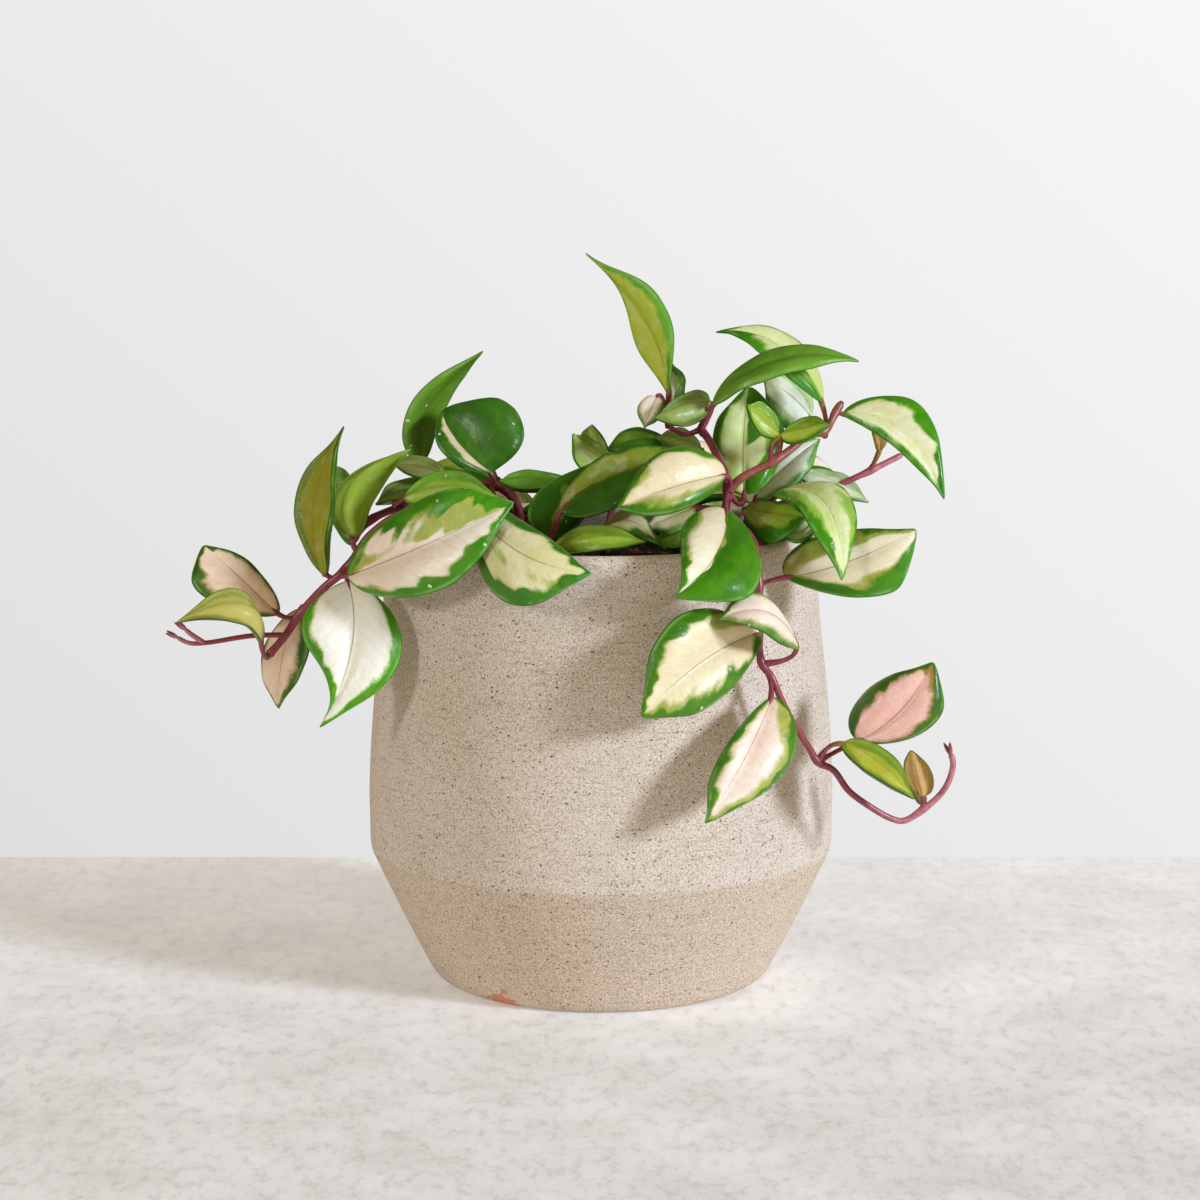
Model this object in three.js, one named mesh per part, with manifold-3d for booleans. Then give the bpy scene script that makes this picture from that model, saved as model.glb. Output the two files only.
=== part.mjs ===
// A tricolor wax plant in a round stoneware planter. Millimetres, +Z up.
// The origin is on the planter's axis, in the plane of its foot. The front is towards -Y.
import * as THREE from 'three';
import { mergeVertices } from 'three/addons/utils/BufferGeometryUtils.js';
import Module from 'manifold-3d';

const wasm = await Module();
wasm.setup();

// Planter. Its outer profile is a set of named places, each a radius and a height.
const POT_HEIGHT = 150;
const WALL = 5.4;
const FLOOR = 8;
const POT_SIDES = 32;
const OUTSIDE = {
  footEdge: [52, 0],
  footCorner: [55.4, 0.4],
  footTop: [57.6, 4.6],
  bowl: [67.2, 23],
  underCrease: [75.1, 40.5],
  crease: [76.9, 44.5],
  overCrease: [76.8, 51],
  belly: [77, 66],
  shoulder: [75.3, 93],
  neck: [72.4, 120],
  rim: [70.3, POT_HEIGHT - WALL / 2],
};
const INSIDE_CORNER = 50;

// Soil
const SOIL_EDGE = 138;
const SOIL_CROWN = 141;
const ROOT_DEPTH = 126;
const GAP = 0.35;

// Plant
const STEM_RADIUS = 1.5;
const TRAILER_RADIUS = 1.2;
const SHOOT_RADIUS = 0.9;
const PETIOLE_RADIUS = 0.9;
const STEM_SIDES = 5;
const STEM_STEP = 8;
const PETIOLE_SIDES = 4;
const PETIOLE_STEPS = 2;
const PETIOLE_LEAD = 0.5;
const PETIOLE_END = 0.08;
const POST_SIDES = 6;

// Leaf blade. The widest place and the rows are shares of the length, the columns of a half-width.
const BLADE_THICKNESS = 0.9;
const BLADE_DOME = 0.16;
const USUAL_WIDEST = 0.45;
const ROUNDNESS = 0.8;
const TIP_START = 0.72;
const TIP_NARROWING = 0.3;
const SMALL_LEAF = 29;
const SMALL_ROWS = [0.03, 0.3, 0.65, 0.985];
const LARGE_ROWS = [0.02, 0.16, 0.42, 0.7, 0.985];
const SMALL_COLUMNS = [-1, 0, 1];
const LARGE_COLUMNS = [-1, -0.5, 0, 0.5, 1];

// Stems, as points along the middle of each. The first stem of a vine comes out of the soil.
// Leaves: where the petiole leaves the stem, blade base, middle of the midrib, tip,
// left edge and right edge at the widest place, and how far along that is if not usual.
const VINES = {
  vine_left: {
    stems: [
      [STEM_RADIUS, [[-49, -18, 142], [-55, -20, 154], [-64, -24, 159], [-74, -26, 153],
        [-82, -26, 140], [-90, -25, 133], [-98, -23, 124], [-102, -24, 118], [-108, -25, 111]]],
      [SHOOT_RADIUS, [[-102, -24, 118], [-113, -26, 118], [-128, -28, 116], [-133, -28, 116],
        [-137, -28, 118]]],
      [SHOOT_RADIUS, [[-128, -28, 116], [-132, -29, 119], [-134, -30, 121]]],
    ],
    leaves: {
      big_cream: [[-82,-26,140], [-80,-38,140], [-53,-58,153],
        [-27,-62,166], [-56,-48,167], [-50,-68,140]],
      hanging_white: [[-82,-26,140], [-81,-34,137], [-79,-48,117],
        [-89,-52,93], [-63,-50,117], [-96,-44,122]],
      upright_olive: [[-82,-26,140], [-89,-24,137], [-92,-22,160],
        [-83,-16,185], [-86,-36,163], [-99,-12,158]],
      far_pink: [[-98,-23,124], [-105,-20,124], [-118,-18,136],
        [-129,-16,146], [-125,-26,132], [-113,-12,139]],
      far_olive: [[-108,-25,111], [-109,-34,118], [-114,-40,130],
        [-135,-42,125], [-116,-32,134], [-114,-46,125]],
      far_hanging: [[-98,-23,124], [-98,-14,125], [-104,-12,109],
        [-106,-10,91], [-96,-18,111], [-112,-6,108]],
      small_yellow: [[-82,-26,140], [-81,-24,135], [-76,-25,131],
        [-70,-30,128], [-77,-30,129], [-76,-19,133]],
    },
  },
  vine_left_rear: {
    stems: [
      [STEM_RADIUS, [[-26, 6, 142], [-28, 6, 157], [-36, 0, 164], [-48, 4, 161], [-63, 6, 157],
        [-76, 3, 152], [-82, -2, 146]]],
      [SHOOT_RADIUS, [[-36, 0, 164], [-35, -18, 160], [-39, -36, 159]]],
    ],
    leaves: {
      upright_green: [[-63,6,157], [-60,14,170], [-57,16,189], [-39,12,207], [-64,12,187], [-51,26,189]],
      round_green: [[-36,0,164], [-36,-2,168], [-40,-4,181],
        [-46,14,194], [-52,-8,182], [-29,0,185], 0.5],
      rim_cream: [[-39,-36,159], [-40,-47,162], [-24,-72,151],
        [-3,-77,146], [-20,-62,158], [-31,-75,138], 0.42],
      curled_light: [[-82,-2,146], [-82,-6,148], [-82,0,164], [-62,-2,176], [-73,-10,160], [-88,6,161]],
      dark_small: [[-82,-2,146], [-82,6,143], [-85,10,150], [-90,14,156], [-89,14,148], [-81,10,153]],
      tiny_green: [[-76,3,152], [-82,14,153], [-86,18,161], [-89,20,168], [-83,20,163], [-89,22,160]],
      light_under: [[-63,6,157], [-64,-14,161], [-48,-18,165],
        [-32,-24,162], [-47,-26,160], [-50,-8,169], 0.5],
      grey_green: [[-48,4,161], [-53,-2,163], [-64,-2,162], [-74,-4,158], [-65,6,165], [-63,-10,160]],
      small_curled: [[-48,4,161], [-51,4,166], [-60,4,169], [-68,4,170], [-59,10,172], [-60,0,166]],
    },
  },
  vine_centre: {
    stems: [
      [TRAILER_RADIUS, [[0, -20, 142], [2, -24, 152], [4, -16, 161], [5, -8, 170], [13, 2, 173],
        [22, 4, 175], [33, 2, 175]]],
      [TRAILER_RADIUS, [[2, -24, 152], [-8, -36, 149], [-16, -42, 150], [-14, -44, 157]]],
    ],
    leaves: {
      long_folded: [[-14,-44,157], [-13,-44,161], [12,-38,174],
        [40,-44,174], [5,-30,179], [15,-44,166], 0.4],
      dark_oval: [[-16,-42,150], [-16,-40,152], [-12,-32,164], [0,-26,175], [-22,-30,163], [-3,-26,160]],
      left_pointing: [[4,-16,161], [-7,-14,166], [-20,-12,167],
        [-33,-14,167], [-23,-8,169], [-23,-20,164]],
      bright_fold: [[5,-8,170], [4,-6,172], [-3,-8,175], [-9,-10,182], [-2,0,178], [-7,-14,171]],
      bright_tip: [[5,-8,170], [1,6,174], [-2,8,178], [-3,8,183], [2,6,177], [-6,10,178]],
      dark_yellow: [[22,4,175], [22,8,177], [12,6,178], [2,2,175], [13,-2,175], [11,14,181]],
      grey_fold: [[33,2,175], [33,0,175], [26,2,178], [18,4,179], [27,8,181], [25,-4,175]],
      rim_olive: [[-16,-42,150], [-15,-50,149], [-2,-57,154], [14,-58,153], [0,-59,150], [-5,-46,156]],
      rim_variegated: [[2,-24,152], [1,-34,153], [9,-40,157], [18,-50,151], [10,-32,160], [5,-44,153]],
    },
  },
  vine_right: {
    stems: [
      [STEM_RADIUS, [[37, -24, 142], [39, -34, 157], [40, -42, 167], [39, -36, 173], [37, -28, 177],
        [34, -20, 182], [32, -18, 184]]],
      [STEM_RADIUS, [[40, -42, 167], [44, -42, 171], [50, -40, 174], [54, -40, 176], [59, -38, 179],
        [66, -34, 184], [71, -32, 185], [75, -28, 191], [77, -27, 194]]],
      [SHOOT_RADIUS, [[32, -18, 184], [27, -12, 182], [22, -8, 184]]],
    ],
    leaves: {
      under_cream: [[39,-34,157], [30,-36,161], [21,-36,157], [15,-38,155], [23,-40,153], [20,-30,160]],
      dark_edge: [[39,-34,157], [33,-36,156], [24,-42,153], [17,-48,151], [23,-34,155], [25,-48,150]],
      peach: [[40,-42,167], [39,-48,173], [22,-58,170], [5,-62,164], [23,-62,163], [21,-50,182]],
      half_cream: [[40,-42,167], [39,-50,162], [35,-80,152], [22,-91,141], [51,-75,151], [28,-89,154]],
      pair_left: [[54,-40,176], [56,-36,184], [51,-38,189], [46,-38,194], [53,-34,193], [49,-42,186]],
      pair_right: [[54,-40,176], [57,-36,184], [64,-38,186], [72,-40,188], [63,-42,182], [65,-32,189]],
      pale_back: [[71,-32,185], [68,-14,187], [62,-12,193], [53,-10,198], [58,-16,186], [65,-6,198]],
      tall_cream: [[40,-42,167], [46,-26,164], [46,-18,180],
        [47,-10,196], [37,-16,180], [54,-20,181], 0.5],
      back_arch: [[71,-32,185], [71,-22,193], [58,-16,210], [37,-12,215], [54,-26,208], [62,-6,213]],
      right_arch: [[75,-28,191], [77,-28,190], [95,-38,183],
        [108,-46,165], [101,-34,194], [89,-46,180], 0.5],
      top_leaf: [[22,-8,184], [22,-8,193], [16,-6,217], [-5,-4,240], [8,4,218], [21,-16,220], 0.55],
      top_dark: [[22,-8,184], [23,-4,190], [25,-2,197], [23,0,204], [23,2,196], [27,-8,197]],
      small_white: [[22,-8,184], [18,-14,194], [16,-18,190], [14,-22,185], [20,-18,190], [12,-16,192]],
      dusty_olive: [[32,-18,184], [35,-20,193], [27,-26,192], [17,-30,189], [28,-18,196], [28,-30,186]],
      large_dark: [[32,-18,184], [36,-24,193], [56,-30,207], [82,-30,207], [54,-22,210], [53,-38,203]],
    },
  },
  vine_right_low: {
    stems: [
      [TRAILER_RADIUS, [[54, -8, 142], [56, -12, 157], [59, -12, 159], [68, -10, 162],
        [76, -8, 164], [83, -6, 167], [88, -4, 169], [99, 0, 174]]],
    ],
    leaves: {
      folded_cream: [[56,-12,157], [56,-28,164], [70,-53,164],
        [74,-72,143], [79,-42,165], [62,-62,163], 0.5],
      pale_green: [[68,-10,162], [65,-6,168], [75,-10,166], [87,-14,160], [73,-16,163], [77,-2,168]],
      dark_rim: [[56,-12,157], [46,-25,159], [55,-38,159], [65,-42,159], [57,-30,162], [53,-48,152]],
      pale_rim: [[68,-10,162], [72,-24,158], [65,-40,154], [57,-46,153], [65,-34,156], [66,-46,153]],
      pale_cream: [[59,-12,159], [50,-12,161], [60,-6,170], [72,0,179], [59,0,175], [64,-12,166]],
      tiny_orange: [[88,-4,169], [91,-6,176], [91,-7,180], [88,-8,184], [89,-6,179], [93,-8,181]],
    },
  },
  vine_trailing: {
    stems: [
      [TRAILER_RADIUS, [[43, -30, 142], [44, -48, 156], [48, -60, 152], [49, -64, 140],
        [49, -66, 125], [50, -66, 116], [53, -67, 112], [56, -67, 105], [60, -66, 97],
        [65, -63, 89], [68, -62, 84], [73, -60, 81], [78, -58, 74], [84, -56, 69], [92, -54, 64],
        [96, -53, 63], [102, -51, 66], [108, -50, 71], [111, -49, 76], [112, -48, 81],
        [111, -48, 84]]],
    ],
    leaves: {
      right_peach: [[49,-64,140], [58,-52,141], [78,-58,147],
        [98,-58,157], [76,-46,156], [82,-62,136], 0.5],
      front_cream: [[49,-66,125], [49,-67,126], [31,-83,120], [12,-94,105], [43,-79,115], [23,-86,134]],
      folded_pink: [[50,-66,116], [61,-72,122], [50,-84,135], [35,-84,132], [49,-88,130], [52,-76,140]],
      hanging_peach: [[50,-66,116], [53,-70,106], [47.5,-84,89],
        [31.5,-93,71.5], [59.5,-78,91], [39.5,-85,94], 0.42],
      strong_pink: [[68,-62,84], [81,-58,90], [94,-60,100], [104,-58,115], [82,-54,105], [101,-64,92]],
      low_olive: [[68,-62,84], [76,-62,90], [88,-66,83], [98,-66,73], [83,-72,82], [89,-60,87]],
      orange_oval: [[102,-51,66], [102,-52,71], [100,-54,78],
        [98,-54,86], [105,-56,78], [96,-52,79], 0.5],
      grey_sliver: [[102,-51,66], [103,-50,68], [101,-50,72], [98,-50,76], [102,-52,73], [100,-48,70]],
    },
  },
  vine_back_centre: {
    stems: [
      [TRAILER_RADIUS, [[22, 24, 142], [23, 32, 149], [24, 42, 158], [28, 60, 164], [31, 77, 157],
        [33, 84, 146], [35, 88, 120], [41, 87, 93]]],
    ],
    leaves: {
      over_soil_left: [[23,32,149], [20,30,152], [8,22,158], [-6,14,156], [10,32,160], [6,13,158]],
      over_soil_right: [[23,32,149], [26,30,152], [38,24,158], [50,16,156], [36,14,158], [41,34,160]],
      behind_up_right: [[24,42,158], [26,47,161], [36,56,167], [46,64,164], [31,63,171], [40,49,166]],
      behind_up_left: [[24,42,158], [22,47,161], [10,58,166], [-2,70,160], [5,50,169], [18,64,167]],
      rim_back_right: [[31,77,157], [35,81,156], [52,92,148], [66,98,130], [42,96,142], [58,83,154]],
      rim_back_left: [[31,77,157], [27,82,156], [12,93,150], [-6,98,132], [5,85,158], [22,96,142]],
      low_back_right: [[35,88,120], [39,91,119], [52,97,108], [62,99,90], [43,103,105], [59,94,116]],
      low_back_left: [[35,88,120], [31,92,119], [17,99,110], [5,103,92], [10,93,117], [27,101,104]],
      end_right: [[41,87,93], [43,90,90], [47,94,74], [45,97,58], [39,99,76], [56,92,76]],
      end_left: [[41,87,93], [38,90,91], [31,96,79], [25,98,64], [25,91,82], [40,97,77]],
    },
  },
  vine_back_left: {
    stems: [
      [TRAILER_RADIUS, [[-22, 20, 142], [-26, 28, 149], [-31, 38, 157], [-40, 54, 161],
        [-48, 68, 154], [-54, 76, 138], [-57, 79, 122], [-56, 82, 104]]],
    ],
    leaves: {
      over_soil_left: [[-26,28,149], [-30,27,152], [-43,20,158],
        [-56,13,156], [-40,10,158], [-45,30,160]],
      over_soil_front: [[-26,28,149], [-24,24,151], [-16,13,155], [-8,2,152], [-8,18,155], [-24,8,155]],
      over_left: [[-31,38,157], [-36,41,160], [-52,48,163], [-68,54,156], [-55,37,163], [-47,57,167]],
      rim_left: [[-48,68,154], [-52,71,152], [-63,80,144], [-69,84,126], [-70,71,146], [-53,86,142]],
      rim_right: [[-48,68,154], [-44,74,152], [-34,87,143], [-24,93,126], [-45,92,141], [-25,83,150]],
      low_left: [[-57,79,122], [-60,81,120], [-68,88,109], [-70,92,91], [-74,79,110], [-58,93,109]],
      low_right: [[-57,79,122], [-53,83,121], [-42,93,111], [-34,98,94], [-52,97,108], [-34,91,119]],
      low_end: [[-56,82,104], [-55,84,101], [-52,89,87], [-49,92,71], [-62,89,87], [-44,92,91]],
    },
  },
  vine_back_right: {
    stems: [
      [TRAILER_RADIUS, [[40, 18, 142], [56, 36, 157], [65, 46, 159], [72, 53, 150], [74, 58, 136],
        [70, 63, 120]]],
    ],
    leaves: {
      rim_up: [[56,36,157], [59,38,160], [72,43,164], [84,46,156], [68,51,169], [74,33,164]],
      inner: [[56,36,157], [56,40,160], [58,54,167], [58,70,161], [50,54,164], [67,54,166]],
      side_right: [[72,53,150], [75,53,147], [83,52,136], [84,50,119], [84,62,137], [85,43,139]],
      side_back: [[72,53,150], [72,57,148], [69,69,139], [63,78,122], [59,70,145], [77,63,134]],
      side_end: [[70,63,120], [69,66,117], [63,76,104], [56,83,87], [57,80,111], [72,73,101]],
    },
  },
};

const STONEWARE = new THREE.MeshStandardMaterial({ color: 0xbfad95, roughness: 0.85, metalness: 0 });
const POTTING_SOIL = new THREE.MeshStandardMaterial({ color: 0x2a1f18, roughness: 1, metalness: 0 });
const WAXY_LEAF = new THREE.MeshStandardMaterial({ color: 0x6f9a3a, roughness: 0.45, metalness: 0 });

// Welds a closed geometry into a solid, leaving out the triangles that collapse on an axis.
function solidFrom(geometry) {
  const bare = geometry.clone();
  bare.deleteAttribute('normal');
  bare.deleteAttribute('uv');
  const welded = mergeVertices(bare, 1e-4);
  const index = welded.getIndex().array;
  const triangles = [];
  for (let k = 0; k < index.length; k += 3) {
    const [a, b, c] = [index[k], index[k + 1], index[k + 2]];
    if (a !== b && b !== c && c !== a) {
      triangles.push(a, b, c);
    }
  }
  return new wasm.Manifold(new wasm.Mesh({
    numProp: 3,
    vertProperties: welded.getAttribute('position').array,
    triVerts: new Uint32Array(triangles),
  }));
}

function meshFrom(name, solid, material) {
  const { vertProperties, triVerts } = solid.getMesh();
  const geometry = new THREE.BufferGeometry();
  geometry.setAttribute('position', new THREE.BufferAttribute(vertProperties, 3));
  geometry.setIndex(new THREE.BufferAttribute(triVerts, 1));
  geometry.computeVertexNormals();
  const mesh = new THREE.Mesh(geometry, material);
  mesh.name = name;
  return mesh;
}

function join(solids) {
  return solids.reduce((whole, next) => whole.add(next));
}

// Turns a profile of radius and height about the planter's axis.
function turned(profile) {
  const geometry = new THREE.LatheGeometry(profile, POT_SIDES);
  geometry.rotateX(Math.PI / 2);
  return solidFrom(geometry);
}

// The inner wall from the rim down to the floor, moved inwards by a clearance.
function innerWall(clearance) {
  const { rim, neck, shoulder, belly, overCrease } = OUTSIDE;
  const atSoil = THREE.MathUtils.mapLinear(SOIL_EDGE, rim[1], neck[1], rim[0], neck[0]);
  const places = [rim, [atSoil, SOIL_EDGE], shoulder, belly, overCrease, [INSIDE_CORNER + WALL, FLOOR]];
  return places.map(([radius, height]) => new THREE.Vector2(radius - WALL - clearance, height));
}

function pot() {
  const { footEdge, footCorner, footTop, bowl, underCrease, crease, overCrease, rim } = OUTSIDE;
  const upperWall = [OUTSIDE.belly, OUTSIDE.shoulder, OUTSIDE.neck, rim];
  const outer = new THREE.Path();
  outer.moveTo(0, 0);
  outer.lineTo(...footEdge);
  outer.quadraticCurveTo(...footCorner, ...footTop);
  outer.quadraticCurveTo(...bowl, ...underCrease);
  outer.quadraticCurveTo(...crease, ...overCrease);
  outer.splineThru(upperWall.map((place) => new THREE.Vector2(...place)));
  outer.absarc(rim[0] - WALL / 2, rim[1], WALL / 2, 0, Math.PI, false);
  const profile = [...outer.getPoints(2), ...innerWall(0).slice(1), new THREE.Vector2(0, FLOOR)];
  return meshFrom('pot', turned(profile), STONEWARE);
}

// A straight upright post, used for a stem's buried end and for the hole that it stands in.
function post(radius, [x, y], low, high) {
  const geometry = new THREE.CylinderGeometry(radius, radius, high - low, POST_SIDES);
  geometry.rotateX(Math.PI / 2);
  geometry.translate(x, y, (low + high) / 2);
  return solidFrom(geometry);
}

function soil() {
  const wall = innerWall(GAP).slice(1);
  const floor = wall[wall.length - 1];
  floor.y += GAP;
  const profile = [new THREE.Vector2(0, floor.y), ...wall.reverse(), new THREE.Vector2(0, SOIL_CROWN)];
  let ground = turned(profile);
  for (const { stems } of Object.values(VINES)) {
    const [radius, points] = stems[0];
    ground = ground.subtract(post(radius + GAP, points[0], ROOT_DEPTH - GAP, SOIL_CROWN + 1));
  }
  return meshFrom('soil', ground, POTTING_SOIL);
}

// A round bar with a few sides, swept along a curve.
function tube(curve, radius, sides, steps) {
  const section = new THREE.Shape();
  for (let k = 0; k < sides; k += 1) {
    const angle = (2 * Math.PI * k) / sides;
    const place = [radius * Math.cos(angle), radius * Math.sin(angle)];
    if (k === 0) {
      section.moveTo(...place);
    } else {
      section.lineTo(...place);
    }
  }
  section.closePath();
  return solidFrom(new THREE.ExtrudeGeometry(section, { steps, extrudePath: curve }));
}

function stem([radius, points]) {
  const curve = new THREE.CatmullRomCurve3(points.map((p) => new THREE.Vector3(...p)));
  return tube(curve, radius, STEM_SIDES, Math.ceil(curve.getLength() / STEM_STEP));
}

// Half-width along the blade as a share of the widest, with a round base and a drawn-out tip.
function outline(along, widest) {
  const swell = Math.sin(Math.PI * along ** (Math.log(0.5) / Math.log(widest))) ** ROUNDNESS;
  return swell * (1 - TIP_NARROWING * THREE.MathUtils.smoothstep(along, TIP_START, 1));
}

// One leaf: its midrib is a curve through base, middle and tip. The two halves of the blade
// reach from it to the left and right edges, so it folds, arches and twists as they lie.
function leaf(places) {
  const [from, base, middle, tip, left, right] = places.slice(0, 6).map((p) => new THREE.Vector3(...p));
  const widest = places[6] ?? USUAL_WIDEST;
  const bend = middle.clone().multiplyScalar(2).addScaledVector(base, -0.5).addScaledVector(tip, -0.5);
  const midrib = new THREE.QuadraticBezierCurve3(base, bend, tip);
  const waist = midrib.getPoint(widest);
  const halves = [left.clone().sub(waist), right.clone().sub(waist)];
  const breadth = right.clone().sub(left);
  const small = base.distanceTo(tip) < SMALL_LEAF;
  const alongs = small ? SMALL_ROWS : LARGE_ROWS;
  const acrosses = small ? SMALL_COLUMNS : LARGE_COLUMNS;

  const facing = (along) => breadth.clone().cross(midrib.getTangent(along)).normalize();
  const place = (along, across) => {
    const half = halves[across < 0 ? 0 : 1];
    const width = outline(along, widest);
    const reach = Math.abs(across);
    const dome = BLADE_DOME * half.length() * width * 4 * reach * (1 - reach);
    const flat = midrib.getPoint(along).addScaledVector(half, width * reach);
    return flat.addScaledVector(facing(along), dome);
  };

  const columns = acrosses.length;
  const positions = [];
  for (const side of [0.5, -0.5]) {
    for (const along of alongs) {
      for (const across of acrosses) {
        const point = place(along, across).addScaledVector(facing(along), side * BLADE_THICKNESS);
        positions.push(point.x, point.y, point.z);
      }
    }
  }

  const back = alongs.length * columns;
  const triangles = [];
  for (let i = 0; i + 1 < alongs.length; i += 1) {
    for (let j = 0; j + 1 < columns; j += 1) {
      const a = i * columns + j;
      const [b, c, d] = [a + 1, a + columns + 1, a + columns];
      triangles.push(a, b, c, a, c, d);
      triangles.push(back + a, back + c, back + b, back + a, back + d, back + c);
    }
  }
  const last = alongs.length - 1;
  const border = [
    ...acrosses.map((_, j) => j),
    ...alongs.slice(1).map((_, i) => (i + 1) * columns + columns - 1),
    ...acrosses.slice(1).map((_, j) => last * columns + columns - 2 - j),
    ...alongs.slice(1).map((_, i) => (last - 1 - i) * columns),
  ];
  for (let k = 0; k + 1 < border.length; k += 1) {
    const [a, b] = [border[k], border[k + 1]];
    triangles.push(a, back + a, back + b, a, back + b, b);
  }
  const blade = new THREE.BufferGeometry();
  blade.setAttribute('position', new THREE.Float32BufferAttribute(positions, 3));
  blade.setIndex(triangles);

  const lead = PETIOLE_LEAD * base.distanceTo(from);
  const approach = base.clone().addScaledVector(midrib.getTangent(0), -lead);
  const petiole = new THREE.QuadraticBezierCurve3(from, approach, midrib.getPoint(PETIOLE_END));
  return solidFrom(blade).add(tube(petiole, PETIOLE_RADIUS, PETIOLE_SIDES, PETIOLE_STEPS));
}

function vine(name, { stems, leaves }) {
  const [radius, [start]] = stems[0];
  const buried = post(radius, start, ROOT_DEPTH, start[2] + 1);
  const grown = [buried, ...stems.map(stem), ...Object.values(leaves).map(leaf)];
  return meshFrom(name, join(grown), WAXY_LEAF);
}

const plant = new THREE.Group();
plant.add(pot(), soil());
for (const [name, growth] of Object.entries(VINES)) {
  plant.add(vine(name, growth));
}

export default plant;
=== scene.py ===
# %% [markdown]
# # A tricolor wax plant in a stoneware planter
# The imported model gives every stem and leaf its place, as plain faceted solids. This lesson
# dresses it. The planter becomes a smooth turned wall with a speckled matt body, the soil gets
# its crumbs and bark, and each vine is grown again from the same places with fine curved
# blades whose cream, pink and green are worked out from the leaf's own measures.
# Lengths are written in millimetres, and MM turns them to Blender's metres.

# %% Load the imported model
import math
from functools import partial, reduce

import bpy
import numpy as np
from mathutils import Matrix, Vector


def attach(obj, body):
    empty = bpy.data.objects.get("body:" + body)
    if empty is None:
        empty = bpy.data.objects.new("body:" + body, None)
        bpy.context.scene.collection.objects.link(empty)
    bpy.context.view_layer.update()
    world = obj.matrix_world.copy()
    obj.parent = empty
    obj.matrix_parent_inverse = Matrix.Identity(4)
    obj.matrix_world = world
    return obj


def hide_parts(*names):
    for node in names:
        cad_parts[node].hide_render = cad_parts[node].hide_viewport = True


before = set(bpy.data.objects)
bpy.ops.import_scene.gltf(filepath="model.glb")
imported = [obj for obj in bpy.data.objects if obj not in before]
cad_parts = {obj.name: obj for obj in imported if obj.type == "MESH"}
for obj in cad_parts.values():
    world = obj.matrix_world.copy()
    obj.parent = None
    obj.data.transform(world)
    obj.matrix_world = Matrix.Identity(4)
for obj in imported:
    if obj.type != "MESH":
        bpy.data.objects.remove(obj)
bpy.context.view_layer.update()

MM = 0.001
print("packed nodes:", sorted(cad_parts))

# %% [markdown]
# ## Camera
# The plant was seen from a little above, with a long lens. A long lens keeps the rim and the
# foot nearly as flat ellipses, so the camera stands about a metre away. Its height and pitch
# come from how far the planter's rim and crease open into ellipses.

# %% Camera
LENS = 96.0
SENSOR = 36.0
CAMERA_PLACE = (-0.33, -1045.5, 291.2)
CAMERA_PITCH = 9.0

camera_data = bpy.data.cameras.new("camera")
camera_data.lens = LENS
camera_data.sensor_width = SENSOR
camera = bpy.data.objects.new("camera", camera_data)
camera.location = np.array(CAMERA_PLACE) * MM
camera.rotation_euler = (math.radians(90 - CAMERA_PITCH), 0, 0)
bpy.context.scene.collection.objects.link(camera)
bpy.context.scene.camera = camera
print("camera at", [round(c, 3) for c in camera.location])

# %% [markdown]
# ## Directions and soft steps
# Two small functions are needed all through. One makes a vector one long, so that it only says
# which way. The other is a soft step. Grown and turned things have few hard corners, and a soft
# step lets one form run into the next with no line between them.

# %% Directions and soft steps
def unit(vectors):
    """Each vector divided by its length."""
    return vectors / np.linalg.norm(vectors, axis=-1, keepdims=True)


def ramp(value, low, high):
    """0 below low, 1 above high, and the smooth cubic 3t^2 - 2t^3 between them."""
    t = np.clip((value - low) / (high - low), 0, 1)
    return t * t * (3 - 2 * t)


print("a ramp at a quarter, half and three quarters:", ramp(np.array([0.25, 0.5, 0.75]), 0, 1))

# %% [markdown]
# ## Skins
# Every piece here is made of skins: stacks of closed loops joined row by row and closed at both
# ends. A turned pot is a stack of circles, a stem is a stack of circles along a path, and a leaf
# is a stack of thin loops round its blade. Subdivision or sculpting could round such forms as
# well, but a skin keeps every point's own measures, and the leaf's colours need those.

# %% Skins
def volume(points, triangles):
    """Signed volume: a sixth of the sum, over the triangles, of a . (b x c)."""
    a, b, c = (points[triangles[:, k]] for k in range(3))
    return np.einsum("ij,ij->i", a, np.cross(b, c)).sum() / 6


def skin(loops, ends, values=None, material=0):
    """Joins loops, rows x columns x 3, into one closed surface.

    Each point is joined to its neighbour in the row, the last to the first, and to the next
    row, which gives quads. The first and last rows are closed by fans to the two ends. Where
    the signed volume comes out negative the faces are turned. values holds named arrays of
    rows x columns x k, and an end takes the mean of its row.
    """
    rows, columns = loops.shape[:2]
    points = np.concatenate([ends[:1], loops.reshape(-1, 3), ends[1:]])
    here = 1 + np.arange(rows * columns).reshape(rows, columns)
    beside = np.roll(here, -1, axis=1)
    quads = np.stack([here[:-1], beside[:-1], beside[1:], here[1:]], -1).reshape(-1, 4)
    first, last = np.zeros(columns, int), np.full(columns, rows * columns + 1)
    fans = np.concatenate([
        np.stack([first, beside[0], here[0]], -1),
        np.stack([here[-1], beside[-1], last], -1),
    ])
    if volume(points, np.concatenate([quads[:, :3], quads[:, [0, 2, 3]], fans])) < 0:
        quads, fans = quads[:, ::-1], fans[:, ::-1]
    carried = {}
    for name, value in (values or {}).items():
        value = np.broadcast_to(value, (rows, columns, value.shape[-1]))
        inner = value.reshape(rows * columns, -1)
        carried[name] = np.concatenate([value[:1].mean(1), inner, value[-1:].mean(1)])
    return {"points": points, "quads": quads, "fans": fans, "values": carried,
            "material": material}


square = [(-1.0, -1.0), (1.0, -1.0), (1.0, 1.0), (-1.0, 1.0)]
box = skin(np.array([[(*corner, z) for corner in square] for z in (-1.0, 1.0)]),
           np.array([(0.0, 0.0, -1.0), (0.0, 0.0, 1.0)]))
print("a box as a skin has", len(box["quads"]), "sides and", len(box["fans"]), "triangles at its ends")

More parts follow.
